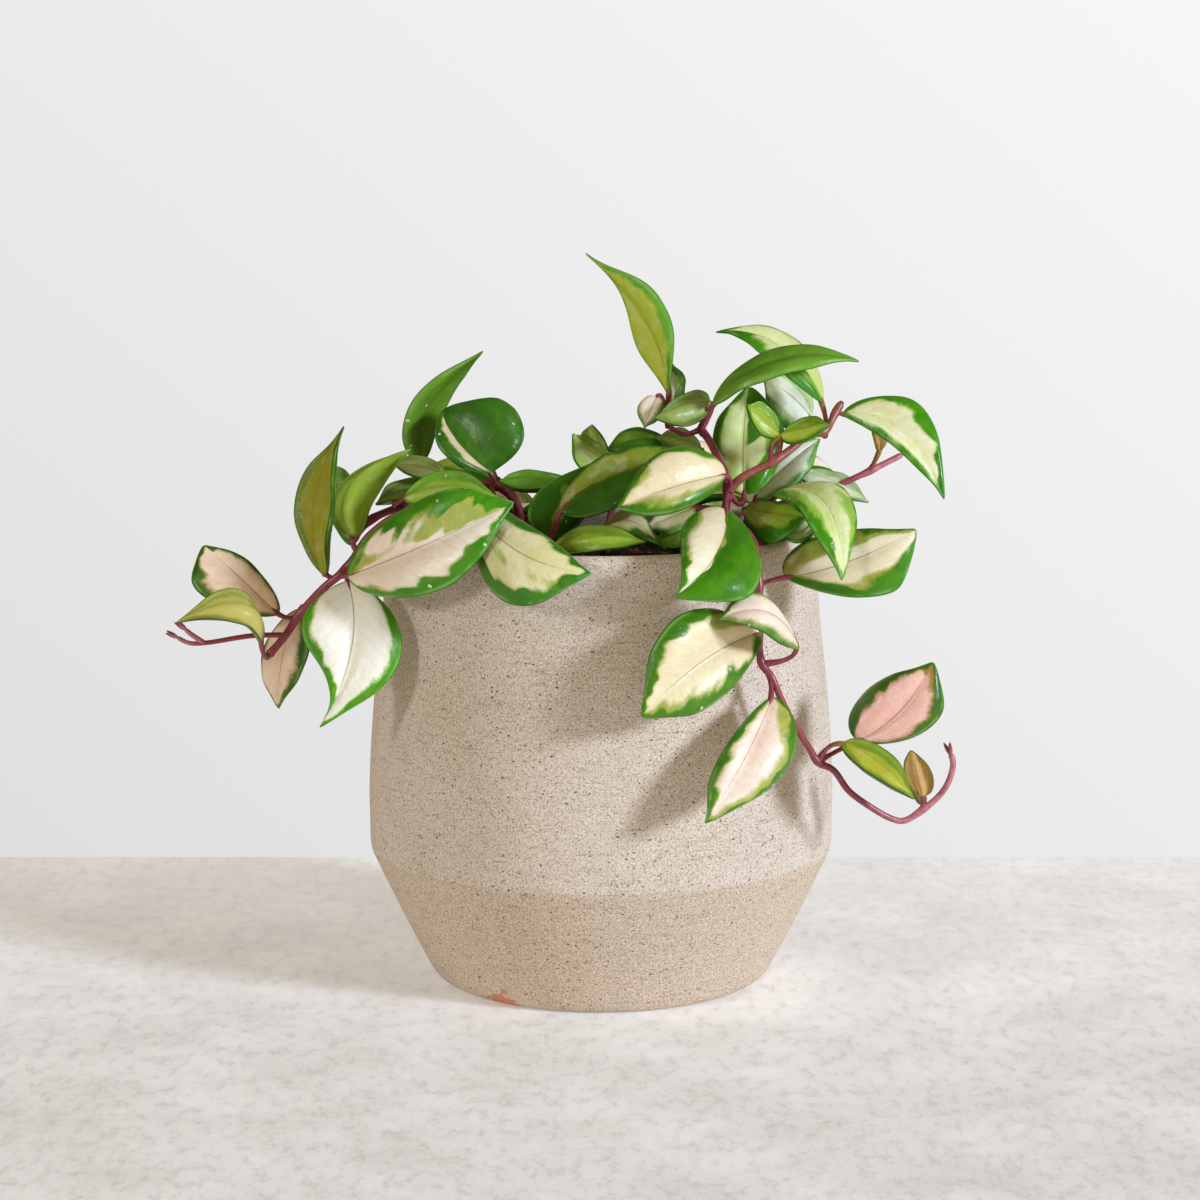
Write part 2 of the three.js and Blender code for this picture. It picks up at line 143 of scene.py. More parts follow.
# %% [markdown]
# ## Pieces
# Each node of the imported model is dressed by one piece, which is one mesh of many skins. A vine
# has 11 to 33 of them: stems, buds, blades and their stalks. They could be as many objects, but
# a vine is one grown thing and moves as one, so it is one mesh. The measures that the finishes
# read become attributes of the mesh.

# %% Pieces
def piece(name, skins, materials, node):
    """Puts skins, in millimetres, into one smooth mesh that stands for a CAD node.

    A value that a skin doesn't carry is 0 there.
    """
    starts = np.cumsum([0] + [len(s["points"]) for s in skins])
    points = np.concatenate([s["points"] for s in skins]) * MM
    quads = np.concatenate([s["quads"] + k for s, k in zip(skins, starts)])
    fans = np.concatenate([s["fans"] + k for s, k in zip(skins, starts)])
    mesh = bpy.data.meshes.new(name)
    mesh.from_pydata(points.tolist(), [], quads.tolist() + fans.tolist())
    index = [np.repeat([s["material"] for s in skins], [len(s[kind]) for s in skins])
             for kind in ("quads", "fans")]
    mesh.polygons.foreach_set("material_index", np.concatenate(index).astype(np.int32))
    mesh.polygons.foreach_set("use_smooth", np.ones(len(mesh.polygons), bool))
    for value in sorted({v for s in skins for v in s["values"]}):
        width = max(s["values"][value].shape[-1] for s in skins if value in s["values"])
        kind, field = {3: ("FLOAT_VECTOR", "vector"), 4: ("FLOAT_COLOR", "color")}[width]
        column = [s["values"].get(value, np.zeros((len(s["points"]), width))) for s in skins]
        attribute = mesh.attributes.new(value, kind, "POINT")
        attribute.data.foreach_set(field, np.concatenate(column).astype(np.float32).ravel())
    for material in materials:
        mesh.materials.append(material)
    mesh.update()
    made = bpy.data.objects.new(name, mesh)
    bpy.context.scene.collection.objects.link(made)
    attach(made, "root")
    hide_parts(node)
    print(f"{name}: {2 * len(quads) + len(fans)} triangles")

# %% [markdown]
# ## Paths
# A stem bends smoothly through the places where its leaves stand. A centripetal Catmull-Rom
# curve does that and doesn't overshoot where two places are close together. A tube then carries
# a ring along the path.

# %% Paths
SPAN_POINTS = 40


def smooth_path(places, step):
    """Points about a step apart on the centripetal Catmull-Rom curve through the places.

    Each span is a cubic whose end slopes come from its two neighbours, weighted by the square
    roots of the distances between them. The ends are continued straight.
    """
    p = np.asarray(places, float)
    p = np.concatenate([[2 * p[0] - p[1]], p, [2 * p[-1] - p[-2]]])
    a, b, c, d = p[:-3], p[1:-2], p[2:-1], p[3:]
    before, during, after = (np.sqrt(np.linalg.norm(q - r, axis=1))[:, None]
                             for q, r in ((b, a), (c, b), (d, c)))
    start = during * ((b - a) / before - (c - a) / (before + during) + (c - b) / during)
    finish = during * ((c - b) / during - (d - b) / (during + after) + (d - c) / after)
    t = np.linspace(0, 1, SPAN_POINTS, endpoint=False)[None, :, None]
    b, c, start, finish = (q[:, None] for q in (b, c, start, finish))
    spans = (b * (2 * t**3 - 3 * t**2 + 1) + start * (t**3 - 2 * t**2 + t)
             + c * (3 * t**2 - 2 * t**3) + finish * (t**3 - t**2))
    fine = np.concatenate([spans.reshape(-1, p.shape[1]), p[-2:-1]])
    run = np.concatenate([[0], np.cumsum(np.linalg.norm(np.diff(fine, axis=0), axis=1))])
    even = np.linspace(0, run[-1], max(3, int(round(run[-1] / step)) + 1))
    return np.stack([np.interp(even, run, axis) for axis in fine.T], -1)


def bend(start, control, end, t):
    """The quadratic Bezier curve with these three points, at each t, and its direction there."""
    t = np.asarray(t)[:, None]
    place = (1 - t) ** 2 * start + 2 * t * (1 - t) * control + t**2 * end
    direction = (1 - t) * (control - start) + t * (end - control)
    return place, unit(direction)


def tube(path, radius, sides, values=None, material=0):
    """A skin of rings along the path.

    Each ring lies across the path's direction. Its two axes come from cross products with one
    fixed direction, chosen from the corners and faces of a cube as the one that the path
    never runs along.
    """
    ahead = unit(np.gradient(path, axis=0))
    cube = np.stack(np.meshgrid([-1, 0, 1], [-1, 0, 1], [-1, 0, 1]), -1).reshape(-1, 3)
    guides = unit(cube[cube.any(1)].astype(float))
    clear = np.linalg.norm(np.cross(ahead[:, None], guides[None]), axis=-1).min(0)
    side = unit(np.cross(ahead, guides[clear.argmax()]))
    over = np.cross(ahead, side)
    angle = np.linspace(0, 2 * np.pi, sides, endpoint=False)[None, :, None]
    ring = np.cos(angle) * side[:, None] + np.sin(angle) * over[:, None]
    loops = path[:, None] + np.asarray(radius)[:, None, None] * ring
    return skin(loops, path[[0, -1]], values, material)


def turned(profile, sides):
    """A skin turned about the Z axis: radius (cos a, sin a) and height, all the way round.

    The profile's first and last points lie on the axis and become the ends.
    """
    angle = np.linspace(0, 2 * np.pi, sides, endpoint=False)[None, :]
    radius, height = profile[1:-1, :1], profile[1:-1, 1:]
    x, y = radius * np.cos(angle), radius * np.sin(angle)
    loops = np.stack([x, y, np.broadcast_to(height, x.shape)], -1)
    ends = np.array([[0, 0, profile[0, 1]], [0, 0, profile[-1, 1]]])
    return skin(loops, ends)


print("a path of two places 9 mm apart has", len(smooth_path([(0, 0), (9, 0)], 1.0)), "points")

# %% [markdown]
# ## Materials
# A material is a small graph of nodes. Colours are picked as sRGB hex values, as a paint
# program shows them, and Blender mixes linear light, so one function converts them. One more
# adds a node with its settings and its links. A finish is then a stack of colours, each laid
# over the last where a measure or a noise rises, as a painter glazes one coat over another.

# %% Colours and nodes
def linear(code):
    """The linear red, green, blue and alpha of an sRGB hex colour."""
    parts = np.array([int(code[k:k + 2], 16) for k in (0, 2, 4)]) / 255
    parts = np.where(parts <= 0.04045, parts / 12.92, ((parts + 0.055) / 1.055) ** 2.4)
    return (*parts.tolist(), 1.0)


def fill(material, node, inputs):
    """Links a node's inputs to the values that are sockets and sets the others, hex colours too."""
    for socket, value in inputs.items():
        if isinstance(value, bpy.types.NodeSocket):
            material.node_tree.links.new(value, node.inputs[socket])
        else:
            node.inputs[socket].default_value = linear(value) if isinstance(value, str) else value


def add(material, kind, inputs=(), out=0, **settings):
    """Adds a node with its settings, fills its inputs and returns one of its outputs.

    The inputs are named, or stand in the node's own order. A kind in capitals is an operation
    of the Math node. out is a name or a number, or a slice for several outputs.
    """
    if kind.isupper():
        kind, settings["operation"] = "Math", kind
    node = material.node_tree.nodes.new("ShaderNode" + kind)
    for name, value in settings.items():
        setattr(node, name, value)
    fill(material, node, inputs if isinstance(inputs, dict) else dict(enumerate(inputs)))
    return node.outputs[out]


def lay(material, below, above, *steps, curve="SMOOTHSTEP"):
    """Lays one colour over another, as strongly as the product of some steps.

    A step is a measure, two values of it and a height. It goes from 0 where the measure has the
    first value to the height where it has the second.
    """
    shares = [add(material, "MapRange", (measure, start, end, 0, height), interpolation_type=curve)
              for measure, start, end, height in steps]
    share = reduce(lambda first, second: add(material, "MULTIPLY", (first, second)), shares)
    return add(material, "Mix", {0: share, 6: below, 7: above}, out=2, data_type="RGBA")


def finish_of(name, constants):
    """A new material whose shader has these constant values, and that shader."""
    material = bpy.data.materials.new(name)
    material.use_nodes = True
    shader = material.node_tree.nodes["Principled BSDF"]
    fill(material, shader, constants)
    return material, shader


def per_metre(size):
    """A texture scale that repeats about once in size millimetres."""
    return 1 / (size * MM)


print("mid grey 808080 is", round(linear("808080")[0], 3), "in linear light")

# %% [markdown]
# ## Stoneware
# The planter is stoneware left bare: fired clay with iron grains in it, matt and sandy. The
# grains burn to dark specks, most of them about half a millimetre across and the largest just
# over one, wider than they are tall because the wheel drags them. They come from Voronoi cells,
# where only the cells that draw a high random number show a grain. The sandy ground comes from a
# fine noise. Real sand of 0.2 mm would be too fine to show, so it is drawn at half a millimetre.
# The wheel leaves faint lines round the pot, the body below the crease is a little browner, and
# a smear of iron red sits at the foot. Inside, the wall above the soil is painted dark brown up
# to just under the rim, as painted shade.

# %% Stoneware
SAND = 0.5
CLOUD = 28.0
WHEEL_LINE = 1.1
WHEEL_DRAG = 0.09
SPECKS = ((1.1, 0.30, 0.30, "5c4836"), (1.7, 0.58, 0.29, "3a2c20"), (2.6, 0.57, 0.23, "1c140e"))
SPECK_EDGE = 0.055
CREASE_HEIGHT, CREASE_BLUR = 44.8, 0.7
FOOT_SMEAR = (-31.5, -45.5, 1.5)
SMEAR_REACH, SMEAR_EDGE, SMEAR_FRAY = 10.0, 0.6, 3.0
# Painted shade inside the rim: its radius and edge, and the heights where it is full and where it ends.
INNER_SHADE_RADIUS, INNER_SHADE_EDGE = 67.6, 0.8
INNER_SHADE_FULL, INNER_SHADE_END = 148.0, 153.5


def stoneware():
    """Clay in two shades, clouds, wheel lines, sand, specks, the smear and the painted inner shade, in
    layers.

    A row of SPECKS is a cell's size in millimetres, the share of cells that have no grain, the
    largest grain's radius as a share of the cell, and a colour.
    """
    material, shader = finish_of("bare_stoneware", {"Roughness": 0.88, "Specular IOR Level": 0.28})
    put, over = partial(add, material), partial(lay, material, curve="LINEAR")
    place = put("TexCoord", out="Object")
    x, y, z = put("SeparateXYZ", (place,), out=slice(3))
    upright = put("MapRange", (z, (CREASE_HEIGHT - CREASE_BLUR) * MM,
                               (CREASE_HEIGHT + CREASE_BLUR) * MM), interpolation_type="SMOOTHSTEP")
    clay = over("cfb99f", "d9c9b7", (upright, 0, 1, 1))
    cloud = put("TexNoise", {"Vector": place, "Scale": per_metre(CLOUD), "Detail": 3.0})
    clay = over(clay, "c9b8a2", (cloud, 0.42, 0.68, 0.5))
    stretched = put("Mapping", {"Vector": place, "Scale": (WHEEL_DRAG, WHEEL_DRAG, 1.0)})
    line = put("TexNoise", {"Vector": stretched, "Scale": per_metre(WHEEL_LINE), "Detail": 2.0})
    clay = over(clay, "a8947c", (line, 0.57, 0.72, 0.5))
    sand = put("TexNoise", {"Vector": place, "Scale": per_metre(SAND), "Detail": 2.0,
                            "Roughness": 0.7})
    clay = over(clay, "7e6450", (sand, 0.50, 0.70, 0.72))
    clay = over(clay, "f4ebe0", (sand, 0.50, 0.30, 0.70))
    dragged = put("Mapping", {"Vector": place, "Scale": (1.0, 1.0, 2.0)})
    for cell, without, reach, colour in SPECKS:
        distance = put("TexVoronoi", {"Vector": dragged, "Scale": per_metre(cell)})
        draw = put("SeparateColor", (distance.node.outputs["Color"],))
        size = put("MapRange", (draw, without, 1, 0, reach))
        clay = over(clay, colour, (put("SUBTRACT", (size, distance)), 0, SPECK_EDGE, 0.95))
    offset = put("VectorMath", (place, np.array(FOOT_SMEAR) * MM), out="Value", operation="DISTANCE")
    worn = put("TexNoise", {"Vector": place, "Scale": per_metre(SMEAR_FRAY)})
    near = put("SUBTRACT", (put("MULTIPLY", (worn, SMEAR_REACH * MM)), offset))
    clay = over(clay, "c9825c", (near, 0, SMEAR_EDGE * MM, 0.9))
    # Painted shade: the inside wall, from the soil up to just under the rim, is darkened to a deep brown
    # with a ragged top edge.
    flat = put("CombineXYZ", (x, y))
    radius = put("VectorMath", (flat,), out="Value", operation="LENGTH")
    ragged = put("MULTIPLY_ADD", (cloud, 6 * MM, z))
    clay = over(clay, "4a3a2c", (radius, INNER_SHADE_RADIUS * MM, (INNER_SHADE_RADIUS - INNER_SHADE_EDGE) * MM, 1),
                (ragged, INNER_SHADE_END * MM, INNER_SHADE_FULL * MM, 0.85), (upright, 0, 1, 1))
    relief = put("Bump", {"Height": sand, "Strength": 0.5, "Distance": 0.12 * MM})
    fill(material, shader, {"Base Color": clay, "Normal": relief})
    return material


STONEWARE = stoneware()
print("stoneware:", len(STONEWARE.node_tree.nodes), "nodes")

# %% [markdown]
# ## Potting soil and bark
# Potting soil is dark peat with bits of bark in it. Damp peat has no gloss at all. The bark is
# redder and lighter where it broke. Both change colour from crumb to crumb, so their noise is
# as fine as the crumbs.

# %% Potting soil and bark
CRUMB = 1.6


def crumbs(name, dark, light, size):
    """Two browns mixed by a noise of the crumbs' size, with a matching bump."""
    material, shader = finish_of(name, {"Roughness": 0.95, "Specular IOR Level": 0.2})
    place = add(material, "TexCoord", out="Object")
    noise = add(material, "TexNoise", {"Vector": place, "Scale": per_metre(size), "Detail": 4.0})
    colour = lay(material, dark, light, (noise, 0.35, 0.7, 1), curve="LINEAR")
    relief = add(material, "Bump", {"Height": noise, "Strength": 0.8, "Distance": 0.4 * MM})
    fill(material, shader, {"Base Color": colour, "Normal": relief})
    return material


PEAT = crumbs("peat", "1c1410", "40302a", CRUMB)
PINE_BARK = crumbs("pine_bark", "3a261b", "7d5a42", 2.2 * CRUMB)
print("soil:", PEAT.name, "and", PINE_BARK.name)

# %% [markdown]
# ## Waxy leaf
# A wax plant's leaf is thick and smooth, with a half gloss like candle wax. In the tricolor
# kind the green lies round the edge and the middle is cream or pink. The border runs in
# flames along the side veins, with yellow-green islands where only one layer of the leaf is
# green. So each point of a blade carries its distances in millimetres: along the midrib, across
# it and in from the edge. The flames are a noise read in slanted coordinates that follow the
# veins, and the border is where the distance from the edge passes it. Each leaf also carries
# a number made from its name, which shifts its noises, so that nearly all of the leaves are
# marked differently.

# %% Waxy leaf
FLAME = 8.0
LUMP = 2.4
FRAY = 0.8
VEIN_SLANT = 0.8
VEIN_SPACING = 4.5
FLECK_CELL = 3.2
LAYERS = ("heart", "blush", "half", "rim", "under")


def waxy_blade():
    """Heart, islands, green rim, midrib, flecks and underside, layered from the leaf's measures.

    border = margin flame + lump + fray, and the heart shows where the edge is further than that.
    A row of the noise table is a name, the coordinates, a size in millimetres and a detail.
    """
    material, shader = finish_of("waxy_blade", {
        "Roughness": 0.3, "Specular IOR Level": 0.3, "Subsurface Weight": 0.06,
        "Subsurface Scale": 1.0 * MM, "Subsurface Radius": (0.8, 1.0, 0.3)})
    put, over = partial(add, material), partial(lay, material)
    smooth = {"interpolation_type": "SMOOTHSTEP"}
    (along, across, edge), (_, share, under), (margin, islands, number) = (
        put("SeparateXYZ", (put("Attribute", out="Vector", attribute_name=name),), out=slice(3))
        for name in ("reach", "blade", "pattern"))
    heart, blush, half, rim, underside = (
        put("Attribute", out="Color", attribute_name=layer) for layer in LAYERS)

    # Coordinates: along the veins, along the blade, and along the blade drawn out.
    from_rib = put("ABSOLUTE", (across,))
    slant = put("MULTIPLY_ADD", (from_rib, -VEIN_SLANT, along))
    veins, plain = (
        put("VectorMath", (put("CombineXYZ", (ahead, across, number)), scale), operation="MULTIPLY")
        for ahead, scale in ((slant, (1, 0.75, 97)), (along, (1, 1, 153))))
    drawn_out = put("Mapping", {"Vector": plain, "Scale": (0.3, 0.8, 1.0)})
    noise = {name: put("TexNoise", {"Vector": vector, "Scale": 1 / size, "Detail": detail,
                                    "Roughness": 0.6}) for name, vector, size, detail in (
        ("flame", veins, 1.2 * FLAME, 1), ("lump", veins, LUMP, 2), ("fray", plain, FRAY, 1),
        ("blur", plain, 7, 1), ("patch", drawn_out, FLAME, 0), ("spot", plain, 3, 2),
        ("warmth", plain, 12, 2), ("grain", veins, 1, 2), ("milk", plain, 4, 3),
        ("sway", plain, 6, 1), ("streak", veins, 3.5, 2), ("fresh", plain, 11, 2),
        ("dark", drawn_out, 5, 2), ("dimple", plain, 2, 2), ("fold", veins, 5.5, 1),
        ("wax", plain, 5, 2))}

    # How far inside the border a point is, and how far inside an island, in millimetres.
    flame = put("MapRange", (noise["flame"], 0.28, 0.72, 0.5, 1.45), **smooth)
    lump = put("MULTIPLY", (put("SUBTRACT", (noise["lump"], 0.5)),
                            put("MULTIPLY_ADD", (margin, 0.28, 0.5))))
    ragged = put("ADD", (lump, put("MULTIPLY_ADD", (noise["fray"], 0.9, -0.45))))
    depth = put("SUBTRACT", (edge, put("MULTIPLY_ADD", (margin, flame, ragged))))
    blur = put("MULTIPLY_ADD", (noise["blur"], 3.0, -0.5))
    patch = put("MapRange", (noise["patch"], 0.42, 0.70, 0, islands), **smooth)
    patch = put("MULTIPLY", (patch, put("ADD", (margin, 5.0))))
    island = put("SUBTRACT", (put("MULTIPLY_ADD", (ragged, 0.5, patch)), depth))

    # The heart: blush near the base, a grain, milky spots, side veins, a halo and the islands.
    warmth = put("MULTIPLY_ADD", (share, -0.25, noise["warmth"]))
    heart = over(heart, blush, (warmth, 0.2, 0.55, 1))
    heart = over(heart, half, (noise["grain"], 0.45, 0.8, 0.16))
    heart = over(heart, "fbf6ea", (noise["milk"], 0.45, 0.75, 0.22))
    turn = put("MULTIPLY_ADD", (slant, 2 * math.pi / VEIN_SPACING,
                                put("MULTIPLY", (noise["sway"], 5.0))))
    heart = over(heart, "a89a5c", (put("COSINE", (turn,)), 0.7, 1, 0.08), (from_rib, 0, 2, 1))
    heart = over(heart, half, (put("ADD", (depth, lump)), 1.9, 0, 0.55))
    spotted = over(half, rim, (noise["spot"], 0.35, 0.7, 0.35))
    heart = over(heart, spotted, (island, -0.8, 2.4, 0.9))

    # The green border: streaks, fresh and dark patches, and its plain colour at the edge.
    green = over(rim, half, (noise["streak"], 0.42, 0.75, 0.14))
    green = over(green, "6c9a34", (noise["fresh"], 0.35, 0.7, 0.22))
    green = over(green, "24560a", (noise["dark"], 0.62, 0.36, 0.38))
    green = over(rim, green, (edge, 0.2, 2.5, 1))
    colour = over(green, heart, (depth, -0.5, blur, 1))

    # Over both: the midrib, flecks in the green, a painted highlight along the rolled edge, the dark
    # edge and the underside.
    colour = over(colour, "8c6a20", (from_rib, 0.34, 0.08, 0.7), (share, 1, 0.5, 1))
    cell = put("TexVoronoi", {"Vector": plain, "Scale": 1 / FLECK_CELL})
    draw = put("SeparateColor", (cell.node.outputs["Color"],))
    fleck = put("SUBTRACT", (put("MapRange", (draw, 0.70, 1, 0, 0.19), **smooth), cell))
    colour = over(colour, "dfe9c4", (fleck, -0.01, 0.03, 0.85), (depth, blur, -0.5, 1))
    # Painted highlight: a pale green band just inside the edge, where the rolled rim would catch the
    # light.
    colour = over(colour, "98c06c", (edge, 0.3, 0.6, 1), (edge, 1.5, 0.8, 0.45),
                  (noise["sway"], 0.35, 0.6, 1))
    colour = over(colour, "23380c", (edge, 0.36, 0.06, 0.65))
    colour = over(colour, underside, (under, 0, 1, 0.5), curve="LINEAR")

    # The skin: dimples and folds too fine to be modelled, and wax that is duller in places.
    ripple = put("ADD", (noise["dimple"], noise["fold"]))
    relief = put("Bump", {"Height": ripple, "Strength": 0.5, "Distance": 0.4 * MM})
    wax = put("MapRange", (noise["wax"], 0.3, 0.7, 0.24, 0.42))
    fill(material, shader, {"Base Color": colour, "Normal": relief, "Roughness": wax})
    return material


WAXY_BLADE = waxy_blade()
print("waxy blade:", len(WAXY_BLADE.node_tree.nodes), "nodes")

# %% [markdown]
# ## Stem skin
# The stems are fleshy and maroon, smooth with a faint bloom, and rosier towards each growing
# tip. A stem's own colour is carried along it, and a fine noise breaks it up.

# %% Stem skin
MOTTLE = 1.8


def stem_skin():
    """The carried colour, darkened in fine patches, with a soft gloss."""
    material, shader = finish_of("fleshy_stem", {"Roughness": 0.34, "Specular IOR Level": 0.5,
                                 "Subsurface Weight": 0.08, "Subsurface Scale": 0.8 * MM})
    carried = add(material, "Attribute", out="Color", attribute_name="bark")
    place = add(material, "TexCoord", out="Object")
    noise = add(material, "TexNoise", {"Vector": place, "Scale": per_metre(MOTTLE), "Detail": 3.0})
    colour = lay(material, carried, "4a2228", (noise, 0.4, 0.7, 0.45), curve="LINEAR")
    relief = add(material, "Bump", {"Height": noise, "Strength": 0.3, "Distance": 0.15 * MM})
    fill(material, shader, {"Base Color": colour, "Normal": relief})
    return material


STEM_SKIN = stem_skin()
print("finishes:", [m.name for m in bpy.data.materials])

# %% [markdown]
# ## Planter
# The real planter is turned: one wall about 5 mm thick with a low crease where the tapering
# bowl meets the upright side, and a rounded rim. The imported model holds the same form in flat
# facets, and a Bevel or a Subdivision Surface would soften those without making them round. So
# the outline is drawn once as radius against height and turned about the axis in many fine
# steps, outside up, over the rim and down the inside.

# %% Planter
POT_HEIGHT = 150.0
WALL = 5.4
FLOOR = 8.0
FOOT_EDGE, FOOT_CORNER, FOOT_TOP = (52, 0), (55.4, 0.4), (57.6, 4.6)
BOWL, UNDER_CREASE = (67.2, 23), (76.0, 42.5)
CREASE, OVER_CREASE = (76.9, 44.5), (76.9, 47.6)
BELLY, SHOULDER, NECK = (77, 66), (75.3, 93), (72.4, 120)
RIM = (70.3, POT_HEIGHT - WALL / 2)
INSIDE_CORNER = 50.0
POT_SIDES = 288


def curve(start, control, end, count):
    """Points on a quadratic Bezier curve, without its last."""
    t = np.linspace(0, 1, count, endpoint=False)
    return bend(*(np.array(p, float) for p in (start, control, end)), t)[0]


def planter_profile():
    """Foot, bowl, crease, side and rim, then the inside down to the floor.

    The rim is half a circle as wide as the wall, and the inside is the side moved in by it.
    """
    side = smooth_path([OVER_CREASE, BELLY, SHOULDER, NECK, RIM], 2.0)
    angle = np.linspace(0, np.pi, 17)[1:]
    lip = np.stack([RIM[0] - WALL / 2 + WALL / 2 * np.cos(angle),
                    RIM[1] + WALL / 2 * np.sin(angle)], -1)
    inner = smooth_path([RIM, NECK, SHOULDER, BELLY, OVER_CREASE], 3.0)[1:] - (WALL, 0)
    floor = curve(inner[-1], (INSIDE_CORNER + 9, FLOOR + 8), (INSIDE_CORNER, FLOOR), 10)
    return np.concatenate([
        [(0, 0), (30, 0)],
        curve(FOOT_EDGE, FOOT_CORNER, FOOT_TOP, 8),
        curve(FOOT_TOP, BOWL, UNDER_CREASE, 24),
        curve(UNDER_CREASE, CREASE, OVER_CREASE, 10),
        side, lip, inner, floor[1:],
        [(INSIDE_CORNER, FLOOR), (0, FLOOR)],
    ])


piece("planter", [turned(planter_profile(), POT_SIDES)], [STONEWARE], "pot")

# %% [markdown]
# ## Soil
# The soil fills the pot to a little below the rim, and its top is uneven. It could be displaced
# by a texture. A sum of waves with random directions looks like loose ground as well, and it
# tells the height at any place, which the bark needs. The seed keeps every run the same.

# %% Soil
SOIL_EDGE = 138.0
SOIL_CROWN = 141.0
CLEARANCE = 0.5
SOIL_RADIUS = RIM[0] - WALL - CLEARANCE - 0.3
SOIL_RINGS, SOIL_SIDES = 110, 300
WAVE_COUNT = 40
WAVE_LENGTH = np.geomspace(30, 2.2, WAVE_COUNT)
random = np.random.default_rng(7)
WAVE_HEADING, WAVE_PHASE = random.uniform(0, 2 * np.pi, (2, WAVE_COUNT))


def ground(x, y):
    """Height of the soil: a low crown, and waves 30 mm to 2 mm long, lower as they get shorter."""
    crown = SOIL_EDGE + (SOIL_CROWN - SOIL_EDGE) * ramp(-np.hypot(x, y), -SOIL_RADIUS, 0)
    flow = np.cos(WAVE_HEADING) * x[..., None] + np.sin(WAVE_HEADING) * y[..., None]
    height = 0.5 * (WAVE_LENGTH / WAVE_LENGTH[0]) ** 0.8
    return crown + (height * np.sin(2 * np.pi * flow / WAVE_LENGTH + WAVE_PHASE)).sum(-1)


def soil_skin():
    """Rings from the middle of the top out to the wall, then down the wall and under."""
    rings = np.linspace(0, SOIL_RADIUS, SOIL_RINGS)[1:]
    top = np.stack([rings, np.full_like(rings, SOIL_EDGE)], -1)
    inner = smooth_path([RIM, NECK, SHOULDER, BELLY, OVER_CREASE], 6.0) - (WALL + CLEARANCE, 0)
    wall = inner[inner[:, 1] < SOIL_EDGE - 4]
    profile = np.concatenate([
        [(0, SOIL_EDGE)], top, wall,
        [(INSIDE_CORNER - 2, FLOOR + CLEARANCE), (0, FLOOR + CLEARANCE)],
    ])
    made = turned(profile, SOIL_SIDES)
    points = made["points"]
    surface = points[:, 2] > SOIL_EDGE - 1
    points[surface, 2] = ground(points[surface, 0], points[surface, 1])
    return made


top = ground(np.linspace(-SOIL_RADIUS, SOIL_RADIUS, 200), np.zeros(200))
print("the soil is", top.min().round(1), "to", top.max().round(1), "mm high")

# %% [markdown]
# ## Bark on the soil
# Potting soil has chips of bark in it, and they lie on top at all angles. Each one is the same
# rounded block, stretched, turned and laid on the soil at random. They are hundreds, so a block
# has only a few faces.

# %% Bark on the soil
BARK_BITS = 520
BARK_SIZE = (2.6, 1.5, 0.7)
BARK_SINK = 0.3


def bark_skins():
    """Rounded blocks, 1 to 6 mm long, each from the same small stack of three hexagons.

    A block's points are moved a little at random. It is then stretched, tilted by a rotation
    about Y, turned by one about Z and laid on the ground.
    """
    turns = np.linspace(0, 2 * np.pi, 6, endpoint=False)
    rise = np.array([-0.8, 0.0, 0.8])
    spread = np.array([0.62, 1.0, 0.62])
    block = np.stack([spread[:, None] * np.cos(turns), spread[:, None] * np.sin(turns),
                      np.broadcast_to(rise[:, None], (3, 6))], -1)
    made = []
    for _ in range(BARK_BITS):
        size = random.uniform(0.5, 1.0) * np.array(BARK_SIZE) * random.uniform(0.45, 1.25)
        heading, tilt = random.uniform(0, 2 * np.pi), random.uniform(-0.5, 0.5)
        bit = (block + random.normal(0, 0.13, block.shape)) * size
        lean = np.array([[math.cos(tilt), 0, math.sin(tilt)], [0, 1, 0],
                         [-math.sin(tilt), 0, math.cos(tilt)]])
        spin = np.array([[math.cos(heading), -math.sin(heading), 0],
                         [math.sin(heading), math.cos(heading), 0], [0, 0, 1]])
        bit = bit @ lean.T @ spin.T
        radius = (SOIL_RADIUS - 3) * math.sqrt(random.uniform(0, 1))
        bearing = random.uniform(0, 2 * np.pi)
        place = np.array([radius * math.cos(bearing), radius * math.sin(bearing)])
        bit += (*place, ground(place[:1], place[1:])[0] + BARK_SINK * size[2])
        made.append(skin(bit, np.stack([bit[0].mean(0), bit[-1].mean(0)]), material=1))
    return made


piece("potting_soil", [soil_skin(), *bark_skins()], [PEAT, PINE_BARK], "soil")

# %% [markdown]
# ## Leaf colours
# Each colouring names the colour in the heart of the leaf, a blush in it, the islands, the
# green rim and the underside. New leaves of the tricolor kind are pink and olive, grown ones
# cream and white, and some shoots turn back to plain green.

